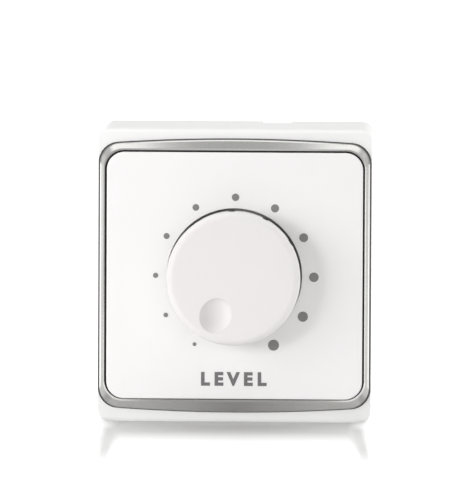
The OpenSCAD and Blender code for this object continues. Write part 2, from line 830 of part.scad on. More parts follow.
module switch_rotor() {
    finger_chord = 2 * finger_tip_r;
    color("dimgray") upright() difference() {
        slab(z_rotor, z_rotor + rotor_t) {
            circle(rotor_d / 2);
            rotate(-first_angle) intersection() {
                circle(finger_tip_r);
                polygon([
                    [0, 0],
                    finger_chord * [-sin(finger_half), cos(finger_half)],
                    finger_chord * [sin(finger_half), cos(finger_half)]
                ]);
            }
        }
        slab(z_rotor - cut, z_rotor + rotor_t + cut) rotate(flat_angle)
            d_section(shaft_r + slip, flat_x + slip);
    }
}

module wiper_contact() {
    color("peru") upright() rotate([0, 0, -first_angle])
        translate([0, (common_r + contact_r) / 2, 0])
            block(contact_d, contact_r - common_r + contact_d, z_wiper, z_rotor);
}

module contact_pins() {
    color("peru") upright() at_contacts() {
        rod(contact_d / 2, z_contact, z_contact + contact_h);
        rod(contact_pin_r, z_board, z_contact + slip);
    }
}

module common_contact() {
    color("peru") upright() {
        ring(common_r + contact_d / 3, common_r - contact_d / 3, z_contact, z_contact + contact_h);
        clock(0, common_r) rod(contact_pin_r, z_board, z_contact + slip);
    }
}

module circuit_board() {
    color("darkgreen") upright() difference() {
        slab(z_board, z_board_front) rounded(board_w, board_h, board_corner_r);
        at_posts() rod(board_screw_d / 2 + ease, z_board - cut, z_board_front + cut);
        at_contacts() rod(contact_pin_r + slip, z_board - cut, z_board_front + cut);
        clock(0, common_r) rod(contact_pin_r + slip, z_board - cut, z_board_front + cut);
        at_bobbin_pins() rod(bobbin_pin_d / 2 + slip, z_board - cut, z_board_front + cut);
        at_terminals() rod(term_pin_d / 2 + slip, z_board - cut, z_board_front + cut);
        for (side = [-1, 1]) translate([side * foot_x, core_y, 0])
            rod(rivet_d / 2 + slip, z_board - cut, z_board_front + cut);
    }
}

module board_screws() {
    color("silver") upright() at_posts() translate([0, 0, z_board]) rotate([180, 0, 0])
        pan_screw(board_screw_d, board_screw_len, board_head_d, board_head_h);
}

module transformer_core() {
    window_h = core_h - 2 * leg_w;
    color("slategray") upright() translate([0, core_y + core_stack / 2, z_core]) rotate([90, 0, 0])
        linear_extrude(core_stack) difference() {
            translate([-core_w / 2, 0]) square([core_w, core_h]);
            for (side = [-1, 1]) translate([side * (core_leg + window_w) / 2 - window_w / 2, leg_w])
                square([window_w, window_h]);
        }
}

module transformer_bobbin() {
    color("black") upright() translate([0, core_y, 0]) difference() {
        union() {
            block(tube_w + 2 * bobbin_wall, tube_h + 2 * bobbin_wall, bobbin_z[0], bobbin_z[1]);
            block(flange_w, flange_h, bobbin_z[0], bobbin_z[0] + bobbin_wall);
            block(flange_w, flange_h, bobbin_z[1] - bobbin_wall, bobbin_z[1]);
            for (y = [-1, 1]) translate([0, y * rail_y, 0])
                block(flange_w, rail_w, bobbin_z[1] - bobbin_wall, z_board);
        }
        block(tube_w, tube_h, bobbin_z[0] - cut, bobbin_z[1] + cut);
        translate([0, -core_y, 0]) at_bobbin_pins() rod(bobbin_pin_d / 2 + slip, bobbin_z[1], z_board + cut);
    }
}

module transformer_winding() {
    z0 = bobbin_z[0] + bobbin_wall + slip;
    z1 = bobbin_z[1] - bobbin_wall - slip;
    color("khaki") upright() translate([0, core_y, 0]) difference() {
        slab(z0, z1) rounded(flange_w - 2 * winding_inset, flange_h - 2 * winding_inset, 2 * winding_inset);
        block(tube_w + 2 * bobbin_wall + 2 * slip, tube_h + 2 * bobbin_wall + 2 * slip, z0 - cut, z1 + cut);
    }
}

module bobbin_pins() {
    color("silver") upright() at_bobbin_pins() rod(bobbin_pin_d / 2, bobbin_z[1], z_board_front + pin_out);
}

module core_clamp() {
    inside = core_w + 2 * slip;
    color("silver") upright() translate([0, core_y, 0]) difference() {
        union() {
            block(inside + 2 * strap_t, strap_w, z_strap, z_core);
            for (side = [-1, 1]) {
                translate([side * (inside + strap_t) / 2, 0, 0]) block(strap_t, strap_w, z_strap, z_board);
                translate([side * (foot_x - strap_t / 2), 0, 0])
                    block(foot_len + strap_t, strap_w, z_board - strap_t, z_board);
            }
        }
        for (side = [-1, 1]) translate([side * foot_x, 0, 0])
            rod(rivet_d / 2 + slip, z_board - strap_t - cut, z_board + cut);
    }
}

module clamp_rivets() {
    head_r = rivet_d * 0.9;
    color("silver") upright() for (side = [-1, 1]) translate([side * foot_x, core_y, 0]) {
        rod(rivet_d / 2, z_board - strap_t - rivet_d / 4, z_board_front + pin_out / 2);
        rod(head_r, z_board - strap_t - rivet_d / 2, z_board - strap_t);
        rod(head_r, z_board_front, z_board_front + pin_out);
    }
}

module terminal_housing() {
    color("seagreen") upright() difference() {
        translate([0, term_y, 0]) block(term_w, term_d, z_board - term_h, z_board);
        at_terminals() {
            translate([0, (cage_y[1] + ease - term_d / 2 - cut) / 2, 0])
                block(chamber_w, cage_y[1] + ease + term_d / 2 + cut, z_chamber, z_board - term_wall);
            rod(term_head_d / 2 + ease, z_board - term_h - cut, z_chamber + cut);
            rod(term_pin_d / 2 + slip, z_board - term_wall - cut, z_board + cut);
        }
    }
}

module terminal_cages() {
    w = chamber_w - 2 * ease;
    h = cage_y[1] - cage_y[0];
    z1 = z_board - term_wall - slip;
    color("goldenrod") upright() at_terminals() translate([0, (cage_y[0] + cage_y[1]) / 2, 0]) difference() {
        block(w, h, z_chamber + slip, z1);
        block(w - 2 * cage_wall, h + 2 * cut, z1 - cage_wall - window_z, z1 - cage_wall);
        translate([0, -(cage_y[0] + cage_y[1]) / 2, 0])
            rod(term_screw_d / 2 + slip, z_chamber - cut, z1 - cage_wall - cut);
    }
}

module terminal_screws() {
    color("silver") upright() at_terminals() translate([0, 0, z_chamber - ease]) rotate([180, 0, 0])
        pan_screw(term_screw_d, window_z + ease, term_head_d, term_head_h);
}

module terminal_pins() {
    color("silver") upright() at_terminals()
        rod(term_pin_d / 2, z_board - term_wall - slip, z_board_front + pin_out);
}

back_box();
box_inserts();
base_frame();
box_screws();
trim_ring();
gap_gasket();
face_plate();
scale_dots();
knob();
knob_clip();
switch_shaft();
shaft_circlip();
switch_bushing();
bushing_washer();
bushing_nut();
switch_plate();
switch_case();
switch_rivets();
detent_wheel();
detent_spring();
switch_rotor();
wiper_contact();
contact_pins();
common_contact();
circuit_board();
board_screws();
transformer_core();
transformer_bobbin();
transformer_winding();
bobbin_pins();
core_clamp();
clamp_rivets();
terminal_housing();
terminal_cages();
terminal_screws();
terminal_pins();
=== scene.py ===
"""Looks of a speaker volume control in a surface box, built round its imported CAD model."""

import json
import math
from collections import namedtuple
from contextlib import contextmanager

import bmesh
import bpy
from bpy.props import (
    FloatProperty, FloatVectorProperty, IntProperty, PointerProperty, StringProperty,
)
from mathutils import Matrix, Quaternion, Vector

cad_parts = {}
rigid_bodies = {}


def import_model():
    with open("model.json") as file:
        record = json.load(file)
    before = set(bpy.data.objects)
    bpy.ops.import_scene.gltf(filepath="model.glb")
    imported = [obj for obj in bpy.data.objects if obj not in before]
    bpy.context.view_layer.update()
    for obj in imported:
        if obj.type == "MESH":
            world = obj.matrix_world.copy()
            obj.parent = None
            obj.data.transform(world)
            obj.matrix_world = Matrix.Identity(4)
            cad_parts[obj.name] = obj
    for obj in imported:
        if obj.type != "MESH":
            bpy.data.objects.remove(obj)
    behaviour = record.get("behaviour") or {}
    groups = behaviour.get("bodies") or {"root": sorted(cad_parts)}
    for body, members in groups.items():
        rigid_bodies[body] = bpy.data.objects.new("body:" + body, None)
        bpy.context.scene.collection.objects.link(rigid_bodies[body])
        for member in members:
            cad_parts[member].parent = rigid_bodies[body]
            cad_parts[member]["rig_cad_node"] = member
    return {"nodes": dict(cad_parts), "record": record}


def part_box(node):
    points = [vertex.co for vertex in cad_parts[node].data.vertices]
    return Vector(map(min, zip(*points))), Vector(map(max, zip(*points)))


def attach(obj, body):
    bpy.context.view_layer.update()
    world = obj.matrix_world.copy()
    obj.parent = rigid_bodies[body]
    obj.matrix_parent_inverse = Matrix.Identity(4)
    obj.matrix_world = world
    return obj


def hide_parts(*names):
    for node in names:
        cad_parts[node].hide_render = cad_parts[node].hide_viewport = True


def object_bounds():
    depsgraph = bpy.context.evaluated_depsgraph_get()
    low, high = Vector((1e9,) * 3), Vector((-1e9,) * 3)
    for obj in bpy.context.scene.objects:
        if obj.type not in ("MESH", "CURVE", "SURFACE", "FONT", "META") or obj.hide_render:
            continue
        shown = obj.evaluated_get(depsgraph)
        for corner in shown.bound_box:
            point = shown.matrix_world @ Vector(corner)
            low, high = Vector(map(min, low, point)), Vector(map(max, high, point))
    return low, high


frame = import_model()
cad_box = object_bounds()

bl_info = {
    "name": "Speaker volume control",
    "version": (1, 0, 0),
    "blender": (4, 5, 0),
    "location": "View3D > Sidebar > Volume",
    "description": "Models and finishes a speaker volume control round its CAD model",
    "category": "Add Mesh",
}

HOUSING = "housing"
DIAL = "dial"
FRAME_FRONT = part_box("base_frame")[0].y
TRIM_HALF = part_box("trim_ring")[1]
PLATE_LOW, PLATE_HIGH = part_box("face_plate")
KNOB_LOW, KNOB_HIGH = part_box("knob")
FLOOR_LEVEL = cad_box[0].z
# How near two places count as the same, how near vertices merge, and how far a cutting tool reaches
# past a piece
HAIR = 1e-5
MERGE = 1e-7
OVERSHOOT = 0.005
# The angle between faces from which an edge is sharp, and the share of a normal along Y from which a
# face looks forward or back
SHARP = math.radians(40)
FACING = 0.9
TRIM_ALONE = "lit_for_trim_alone"


def length(label, description, default):
    """A size property in metres."""
    return FloatProperty(
        name=label, description=description, default=default, min=0.0,
        precision=5, subtype="DISTANCE", unit="LENGTH",
    )


def angle(label, description, degrees):
    """An angle property."""
    return FloatProperty(
        name=label, description=description, default=math.radians(degrees),
        subtype="ANGLE", unit="ROTATION",
    )


def number(label, description, default, least=0.0, most=100.0):
    """A plain number property."""
    return FloatProperty(name=label, description=description, default=default, min=least, max=most)


def whole_number(label, description, default, least, most):
    """A whole-number property."""
    return IntProperty(name=label, description=description, default=default, min=least, max=most)


def colour(label, description, default):
    """A colour property."""
    return FloatVectorProperty(
        name=label, description=description, default=default, size=3, min=0.0, max=1.0,
        subtype="COLOR",
    )


class ShellSizes(bpy.types.PropertyGroup):
    """Sizes of the box and frame edges."""

    edge: length("Edge rounding", "Rounding of the moulded edges of box and frame", 0.0004)
    edge_steps: whole_number("Edge steps", "Faces across a rounded edge", 3, 1, 8)


class TrimSizes(bpy.types.PropertyGroup):
    """Sizes of the silver trim."""

    bow: length("Bow", "How far the ends of the trim bow out", 0.0017)
    corner: length("Corner radius", "Radius of the trim's outer corners", 0.006)
    opening: length("Opening", "How far the trim's opening clears the CAD face plate", 0.0005)
    sill: length("Sill", "How far the trim's lower strip stands up into that opening", 0.0005)
    inner_corner: length("Inner corner radius", "Radius of the corners of the trim's opening", 0.006)
    side_draft: length("Side draft", "How far the outer wall leans in at the sides", 0.0008)
    end_draft: length("End draft", "How far the outer wall leans in at the bowed ends", 0.0004)
    edge_height: length("Edge height", "Height of the trim's outer edge over the frame", 0.0012)
    crest_height: length("Crest height", "Height of the trim's crest over the frame", 0.0024)
    outer_bevel: length("Outer bevel", "Width of the bevel on the outer edge", 0.00045)
    inner_bevel: length("Inner bevel", "Width of the bevel beside the face plate", 0.0008)
    peg_radius: length("Peg radius", "Radius of the pegs that fix the trim to the frame", 0.0008)
    peg_length: length("Peg length", "How far a peg reaches into the frame", 0.002)


class PlateSizes(bpy.types.PropertyGroup):
    """Sizes of the face plate."""

    thickness: length("Thickness", "Thickness of the plate", 0.0032)
    gap_left: length("Left gap", "Black line at the left of the plate", 0.0006)
    gap_right: length("Right gap", "Black line at the right of the plate", 0.0005)
    gap_top: length("Top gap", "Black line over the plate", 0.0004)
    gap_bottom: length("Bottom gap", "Black line under the plate", 0.0001)
    corner: length("Corner radius", "Radius of the plate's corners", 0.0055)
    edge: length("Edge rounding", "Rounding of the plate's front edge", 0.0005)
    hole_radius: length("Hole radius", "Radius of the hole round the knob", 0.02125)
    hole_rise: length("Hole rise", "How far the hole sits above the knob's axis", 0.00015)
    hole_edge: length("Hole rounding", "Rounding of the front edge of the hole", 0.0002)
    collar: length("Collar", "Thickness of the collar round the hole", 0.0015)
    hook_width: length("Hook width", "Width of a snap hook", 0.006)
    hook_thickness: length("Hook thickness", "Thickness of a snap hook", 0.0014)
    hook_barb: length("Hook barb", "Reach of a snap hook's barb", 0.0008)
    hook_inset: length("Hook inset", "Distance of a hook's outer side from the plate's edge", 0.0051)
    hook_root: length("Hook root", "How far a hook starts inside the plate", 0.001)
    hook_reach: length("Hook reach", "Distance of the barbs behind the frame's front", 0.00205)
    hook_height: length("Hook height", "Distance of the hooks above and below the middle", 0.018)


class DotSizes(bpy.types.PropertyGroup):
    """Sizes of the printed dots."""

    count: whole_number("Dots", "Number of dots on the scale", 11, 2, 31)
    ring: length("Ring radius", "Radius of the ring of dots", 0.0249)
    smallest: length("Smallest dot", "Diameter of the smallest dot", 0.00123)
    largest: length("Largest dot", "Diameter of the largest dot", 0.00345)
    ink: length("Ink thickness", "Thickness of the print", 0.00012)
    first: angle("First dot", "Clockwise turn of the smallest dot from the top", -149.65)
    step: angle("Step", "Turn from one dot to the next", 30)
    shift: FloatProperty(
        name="Shift", description="How far the print sits to the right of the knob's axis",
        default=0.00013, precision=5, subtype="DISTANCE", unit="LENGTH",
    )


class WordSizes(bpy.types.PropertyGroup):
    """Size and place of the printed word."""

    text: StringProperty(name="Word", description="Generic word under the scale", default="LEVEL")
    height: length("Letter height", "Height of the capitals", 0.0044)
    spacing: number("Spacing", "Space between the letters", 1.55, 0.5, 3.0)
    weight: number("Weight", "How far the strokes are thickened", 0.05)
    drop: length("Drop", "Distance of the word's middle below the knob's axis", 0.0324)
    ink: length("Ink thickness", "Thickness of the print", 0.00008)


class KnobSizes(bpy.types.PropertyGroup):
    """Sizes of the knob."""

    rounding: length("Rim rounding", "Rounding of the front edge", 0.0024)
    taper: length("Taper", "How much narrower the side is at the plate", 0.00045)
    sink: length("Sink", "How far the rim sinks below the plate's front", 0.0012)
    wall: length("Wall", "Thickness of the side", 0.002)
    face: length("Face", "Thickness of the front", 0.0034)
    hub_radius: length("Hub radius", "Radius of the hub round the shaft", 0.006)
    bore_radius: length("Bore radius", "Radius of the hub's bore", 0.00305)
    bore_end: length("Bore end", "Distance of the bore's end from the front", 0.0028)
    bore_flat: length("Bore flat", "Distance of the bore's flat from the axis", 0.00155)
    rib: length("Rib", "Thickness of the ribs inside", 0.0012)
    rib_height: length("Rib height", "Height of the ribs inside", 0.0044)
    rib_count: whole_number("Ribs", "Number of ribs inside", 6, 2, 12)
    notch_count: whole_number("Notches", "Number of grip notches", 12, 3, 48)
    notch_turn: angle("Notch turn", "Turn of the first grip notch from the top", -2)
    notch_radius: length("Notch radius", "Radius of a grip notch's section", 0.0016)
    notch_depth: length("Notch depth", "Depth of a grip notch", 0.0005)
    dimple_distance: length("Dimple distance", "Distance of the finger dimple from the axis", 0.0127)
    dimple_length: length("Dimple length", "Length of the dimple along the radius", 0.0112)
    dimple_width: length("Dimple width", "Width of the dimple", 0.0099)
    dimple_depth: length("Dimple depth", "Depth of the dimple", 0.0028)
    dimple_ball: length("Dimple ball", "Half height of the ball that cuts the dimple", 0.0041)
    dimple_edge: length("Dimple rounding", "Rounding of the dimple's edge", 0.00025)
    pointer: angle("Pointer", "Clockwise turn of the dimple from the top, at rest", -155)


class Colours(bpy.types.PropertyGroup):
    """Colours of the outer pieces."""

    shell: colour("Shell", "White of the box and frame", (0.87, 0.87, 0.862))
    plate: colour("Plate", "White of the face plate", (0.862, 0.848, 0.845))
    knob: colour("Knob", "White of the knob", (0.765, 0.742, 0.736))
    silver: colour("Silver", "Satin silver of the trim", (0.312, 0.31, 0.301))
    # The gasket's black is painted shade: a dark ring in the gap round the face plate, standing in for
    # the shadow in that gap.
    rubber: colour("Rubber", "Black of the gasket", (0.008, 0.008, 0.008))
    ink: colour("Ink", "Grey of the printed dots", (0.205, 0.201, 0.197))
    word_ink: colour("Word ink", "Darker grey of the printed word", (0.152, 0.146, 0.15))


class StageSettings(bpy.types.PropertyGroup):
    """Camera and light."""

    azimuth: angle("Azimuth", "How far the camera stands to the right", 1.6)
    elevation: angle("Elevation", "How far the camera stands above the level", 3.9)
    roll: angle("Roll", "Turn of the camera about its line of sight", 0.26)
    distance: length("Distance", "Distance of the camera from the face", 3.0)
    view_width: length("View width", "Width of the view at the face", 0.1478)
    aim: FloatVectorProperty(
        name="Aim", description="Point in the middle of the view",
        default=(0.00015, -0.048, 0.009), size=3, precision=5, subtype="TRANSLATION", unit="LENGTH",
    )
    sky: number("Sky", "Level of the soft light from all round", 0.23)


def deselect_all():
    """Deselects every object."""
    bpy.ops.object.select_all(action="DESELECT")


def make_active(piece):
    """Selects one object alone and makes it active."""
    deselect_all()
    piece.select_set(True)
    bpy.context.view_layer.objects.active = piece


@contextmanager
def editing(piece):
    """Edit mode on one piece."""
    make_active(piece)
    bpy.ops.object.mode_set(mode="EDIT")
    yield
    bpy.ops.object.mode_set(mode="OBJECT")


def pick(piece, kind, test):
    """Selects the vertices, edges or faces that pass a test; raises an error if none does."""
    bpy.ops.mesh.select_mode(type=kind)
    bpy.ops.mesh.select_all(action="DESELECT")
    mesh = bmesh.from_edit_mesh(piece.data)
    items = {"VERT": mesh.verts, "EDGE": mesh.edges, "FACE": mesh.faces}[kind]
    found = [item for item in items if test(item)]
    if not found:
        raise RuntimeError(f"nothing to select on {piece.name}")
    for item in found:
        item.select_set(True)
    mesh.select_flush_mode()
    bmesh.update_edit_mesh(piece.data)


def all_at(edge, test):
    """True if both ends of an edge pass a test on their place."""
    return all(test(vertex.co) for vertex in edge.verts)


def settle(piece):
    """Puts the object's place, turn and scale into its mesh."""
    make_active(piece)
    bpy.ops.object.transform_apply(location=True, rotation=True, scale=True)
    return piece


def add_block(name, low, high):
    """A block between two corners."""
    deselect_all()
    low, high = Vector(low), Vector(high)
    bpy.ops.mesh.primitive_cube_add(size=1, location=(low + high) / 2)
    piece = bpy.context.object
    piece.name = name
    piece.scale = high - low
    return settle(piece)


def add_rod(name, radius, front, back, x=0.0, z=0.0, sides=64):
    """A round rod along Y."""
    deselect_all()
    bpy.ops.mesh.primitive_cylinder_add(
        vertices=sides, radius=radius, depth=back - front,
        location=(x, (front + back) / 2, z), rotation=(math.pi / 2, 0, 0),
    )
    piece = bpy.context.object
    piece.name = name
    return settle(piece)


def apply_modifier(piece, kind, **settings):
    """Adds a modifier and applies it."""
    make_active(piece)
    modifier = piece.modifiers.new(kind.title(), kind)
    for key, value in settings.items():
        setattr(modifier, key, value)
    bpy.ops.object.modifier_apply(modifier=modifier.name)


def combine(piece, tool, operation):
    """Adds or cuts a tool, which is then removed."""
    apply_modifier(piece, "BOOLEAN", operation=operation, object=tool, solver="EXACT")
    bpy.data.objects.remove(tool)


def copies_round_axis(piece, total, start=0.0):
    """Copies a piece round the knob's axis and joins the copies, each turned by an equal step."""
    made = []
    for index in range(total):
        make_active(piece)
        bpy.ops.object.duplicate()
        copy = bpy.context.object
        turn = start + index * math.tau / total
        copy.matrix_world = Matrix.Rotation(turn, 4, "Y") @ copy.matrix_world
        made.append(settle(copy))
    bpy.data.objects.remove(piece)
    return join(made)


def join(pieces):
    """Joins pieces into the first of them."""
    deselect_all()
    for piece in pieces:
        piece.select_set(True)
    bpy.context.view_layer.objects.active = pieces[0]
    if len(pieces) > 1:
        bpy.ops.object.join()
    return pieces[0]


def clean(piece):
    """Merges doubles and points the faces outwards."""
    with editing(piece):
        bpy.ops.mesh.select_all(action="SELECT")
        bpy.ops.mesh.remove_doubles(threshold=MERGE)
        bpy.ops.mesh.normals_make_consistent(inside=False)


def smooth(piece, limit=SHARP):
    """Shades a piece smooth, with flat faces kept flat."""
    make_active(piece)
    bpy.ops.object.shade_smooth_by_angle(angle=limit)
    apply_modifier(piece, "WEIGHTED_NORMAL", keep_sharp=True, weight=100)


def place(piece, body, slot, finish, *nodes):
    """Gives a finished piece its finish and its body, and hides the CAD nodes that it stands for; slot
    is not used.
    """
    piece.data.materials.clear()
    piece.data.materials.append(finish)
    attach(piece, body)
    if nodes:
        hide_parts(*nodes)


def softened_copy(node, name, edge, steps):
    """A copy of a CAD node with its sharp edges rounded."""
    flat = math.radians(0.5)
    make_active(frame["nodes"][node])
    bpy.ops.object.duplicate()
    piece = bpy.context.object
    piece.name = name
    del piece["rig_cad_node"]
    with editing(piece):
        bpy.ops.mesh.select_all(action="SELECT")
        bpy.ops.mesh.remove_doubles(threshold=MERGE)
        bpy.ops.mesh.dissolve_limited(angle_limit=flat)
    apply_modifier(
        piece, "BEVEL", width=edge, segments=steps, limit_method="ANGLE", angle_limit=SHARP
    )
    smooth(piece)
    return piece


class Socket:
    """A node's output that takes part in sums as a number does."""

    def __init__(self, graph, output):
        self.graph = graph
        self.output = output

    def maths(self, operation, first, second):
        return self.graph.node("Math", {"operation": operation}, {0: first, 1: second})

    def __add__(self, other):
        return self.maths("ADD", self, other)

    def __radd__(self, other):
        return self.maths("ADD", other, self)

    def __sub__(self, other):
        return self.maths("SUBTRACT", self, other)

    def __rsub__(self, other):
        return self.maths("SUBTRACT", other, self)

    def __mul__(self, other):
        return self.maths("MULTIPLY", self, other)

    def __rmul__(self, other):
        return self.maths("MULTIPLY", other, self)

    def __truediv__(self, other):
        return self.maths("DIVIDE", self, other)

    def __mod__(self, other):
        return self.maths("FLOORED_MODULO", self, other)

    def __abs__(self):
        return self.maths("ABSOLUTE", self, 0.0)

    def __gt__(self, other):
        return self.maths("GREATER_THAN", self, other)

    def __lt__(self, other):
        return self.maths("LESS_THAN", self, other)

    def larger(self, other):
        return self.maths("MAXIMUM", self, other)

    def clamped(self):
        """The value, held between 0 and 1."""
        return self.graph.node("Clamp", inputs={"Value": self})


class Graph:
    """A node tree under construction."""

    def __init__(self, tree):
        self.tree = tree

    def first(self, kind):
        """The first node of a kind that the tree already has."""
        return next(node for node in self.tree.nodes if node.type == kind)

    def node(self, kind, settings=None, inputs=None, output=0):
        """Adds a node with its settings, then its values and links, and gives one of its outputs."""
        node = self.tree.nodes.new("ShaderNode" + kind)
        for key, value in (settings or {}).items():
            setattr(node, key, value)
        for key, value in (inputs or {}).items():
            self.feed(node.inputs[key], value)
        return Socket(self, node.outputs[output])

    def feed(self, socket, value):
        """Links a socket, or sets its value."""
        if isinstance(value, Socket):
            self.tree.links.new(value.output, socket)
        elif socket.type == "RGBA":
            socket.default_value = (*value, 1.0)
        else:
            socket.default_value = value


class Finish(Graph):
    """A material under construction."""

    def __init__(self, name):
        self.material = bpy.data.materials.new(name)
        self.material.use_nodes = True
        super().__init__(self.material.node_tree)
        self.surface = self.first("BSDF_PRINCIPLED")
        self.spot = self.node("TexCoord", output="Object")

    def noise(self, scale, detail=2.0, roughness=0.5, vector=None):
        inputs = {"Scale": scale, "Detail": detail, "Roughness": roughness}
        return self.node("TexNoise", inputs={"Vector": vector or self.spot, **inputs})

    def stretched(self, scale):
        """Object coordinates stretched along an axis."""
        return self.node("Mapping", inputs={"Vector": self.spot, "Scale": scale})

    def axis(self, name):
        """One object coordinate, in metres."""
        return self.node("SeparateXYZ", inputs={0: self.spot}, output=name)

    def blend(self, factor, first, second):
        """A colour between two colours."""
        settings = {"data_type": "RGBA", "clamp_factor": True}
        return self.node("Mix", settings, {0: factor, 6: first, 7: second}, output=2)

    def bump(self, height, strength, distance):
        inputs = {"Strength": strength, "Distance": distance, "Height": height}
        return self.node("Bump", inputs=inputs)

    def done(self, **values):
        """Sets the surface's sockets and gives the material."""
        for key, value in values.items():
            self.feed(self.surface.inputs[key.replace("_", " ")], value)
        return self.material


def shade(base, factor):
    """A colour made darker or lighter."""
    return tuple(min(1.0, part * factor) for part in base)


def moulded_plastic(name, base, roughness, grain, relief, painted_shade=None):
    """Moulded plastic with faint flow marks, uneven gloss and a fine grain.

    The optional painted shade gives two depths between which the colour fades to a darker tone, and the
    factor that it fades to.
    """
    finish = Finish(name)
    flow = finish.noise(60.0, 3.0)
    speck = finish.noise(grain, 2.0)
    tone = finish.blend(flow, shade(base, 0.985), shade(base, 1.015))
    # Painted shade: the colour darkens with depth towards where the piece meets another, standing in
    # for the shade there.
    if painted_shade:
        start, end, factor = painted_shade
        depth = (finish.axis("Y") - start) / (end - start)
        tone = finish.blend(depth, tone, shade(base, factor))
    return finish.done(
        Base_Color=tone,
        Roughness=roughness + (flow - 0.5) * 0.1 + (speck - 0.5) * 0.06,
        Normal=finish.bump(speck, relief, 2e-5),
    )


def worked_metal(name, base, roughness, stretch, relief):
    """Metal with fine tool or rolling marks along the axis with the smallest stretch."""
    finish = Finish(name)
    marks = finish.noise(1.0, 3.0, 0.6, finish.stretched(stretch))
    cloud = finish.noise(180.0, 2.0)
    return finish.done(
        Base_Color=finish.blend(cloud, shade(base, 0.9), shade(base, 1.08)),
        Metallic=1.0,
        Roughness=roughness + (marks - 0.5) * 0.16 + (cloud - 0.5) * 0.08,
        Normal=finish.bump(marks, relief, 1e-5),
    )


def satin_silver(base):
    """Fine satin metal with a faint grain, with painted shade low on its outer wall, which is dark,
    rough and hardly metallic there.
    """
    finish = Finish("satin_silver")
    grain = finish.noise(9000.0, 2.0)
    cloud = finish.noise(120.0, 2.0)
    satin = finish.blend(cloud, shade(base, 0.96), shade(base, 1.04))
    # Painted shade: the outer wall's lowest part, next to the frame, turns dark, rough and hardly
    # metallic, standing in for the shadow line where trim meets frame.
    painted_shadow_height, fade = 0.0009, 0.0001
    low = ((finish.axis("Y") - (FRAME_FRONT - painted_shadow_height)) / fade).clamped()
    return finish.done(
        Base_Color=finish.blend(low, satin, shade(base, 0.12)),
        Metallic=1 - low * 0.9,
        Roughness=0.22 + (grain - 0.5) * 0.06 + (cloud - 0.5) * 0.04 + low * 0.5,
        Normal=finish.bump(grain, 0.015, 1e-5),
    )


def printed_ink(name, base):
    """Screen-printed ink with a faintly uneven coat."""
    finish = Finish(name)
    coat = finish.noise(2500.0, 3.0)
    return finish.done(
        Base_Color=finish.blend(coat, shade(base, 0.93), shade(base, 1.07)),
        Roughness=0.5 + (coat - 0.5) * 0.2,
        Normal=finish.bump(coat, 0.05, 1e-5),
    )


def black_rubber(base):
    """Dull rubber with a dusty bloom; its black on the gasket is painted shade in the gap round the
    face plate.
    """
    finish = Finish("black_rubber")
    bloom = finish.noise(700.0, 4.0)
    return finish.done(
        Base_Color=finish.blend(bloom, base, shade(base, 1.8)),
        Roughness=0.7 + (bloom - 0.5) * 0.2,
        Normal=finish.bump(finish.noise(5000.0), 0.2, 2e-5),
    )


def brown_phenolic():
    """Moulded phenolic with wood-flour flecks."""
    finish = Finish("brown_phenolic")
    fleck = finish.noise(1400.0, 5.0, 0.7)
    return finish.done(
        Base_Color=finish.blend(fleck, (0.12, 0.05, 0.022), (0.27, 0.13, 0.06)),
        Roughness=0.38 + (fleck - 0.5) * 0.25,
        Normal=finish.bump(fleck, 0.08, 2e-5),
    )


def board_green():
    """Solder mask over copper tracks, with the weave of the glass cloth showing through."""
    finish = Finish("board_green")
    track_pitch, track_width = 0.00254, 0.0009
    across, up = finish.axis("X"), finish.axis("Z")
    bend = finish.noise(45.0, 1.0)
    track = ((across + up * 0.35 + bend * 0.012) % track_pitch) < track_width
    cloth = {"Vector": finish.spot, "Scale": 420.0}
    warp = finish.node("TexWave", {"bands_direction": "X"}, cloth)
    weft = finish.node("TexWave", {"bands_direction": "Z"}, cloth)
    weave = (warp + weft) * 0.5
    mask = finish.blend(weave, (0.012, 0.11, 0.035), (0.018, 0.15, 0.05))
    return finish.done(
        Base_Color=finish.blend(track * 0.6, mask, (0.05, 0.26, 0.09)),
        Roughness=0.3 + (weave - 0.5) * 0.06,
        Normal=finish.bump(track * 0.6 + weave * 0.1, 0.25, 3e-5),
    )


def lamination_steel():
    """The edges of stacked core sheets."""
    finish = Finish("lamination_steel")
    sheet, gap = 0.0005, 0.00008
    seam = (finish.axis("Z") % sheet) < gap
    rust = finish.noise(350.0, 5.0, 0.7)
    plain = finish.blend(rust, (0.17, 0.17, 0.18), (0.3, 0.29, 0.28))
    return finish.done(
        Base_Color=finish.blend(seam, plain, (0.05, 0.048, 0.045)),
        Metallic=0.9 - seam * 0.6,
        Roughness=0.42 + (rust - 0.5) * 0.25 + seam * 0.2,
        Normal=finish.bump(1 - seam, 0.5, 4e-5),
    )


def winding_tape():
    """Layers of yellow tape over the coil."""
    finish = Finish("winding_tape")
    tape_width, edge_width = 0.0042, 0.00025
    lap = finish.axis("Y") % tape_width
    edge = lap < edge_width
    crease = finish.noise(1.0, 3.0, 0.6, finish.stretched((150.0, 700.0, 150.0)))
    plain = finish.blend(crease, (0.62, 0.4, 0.05), (0.78, 0.55, 0.09))
    return finish.done(
        Base_Color=finish.blend(edge * 0.5, plain, (0.35, 0.2, 0.02)),
        Roughness=0.26 + crease * 0.12,
        Normal=finish.bump(lap * 160.0 + crease * 0.5, 0.3, 4e-5),
    )


Lamp = namedtuple("Lamp", "name azimuth elevation distance width height radiance target")


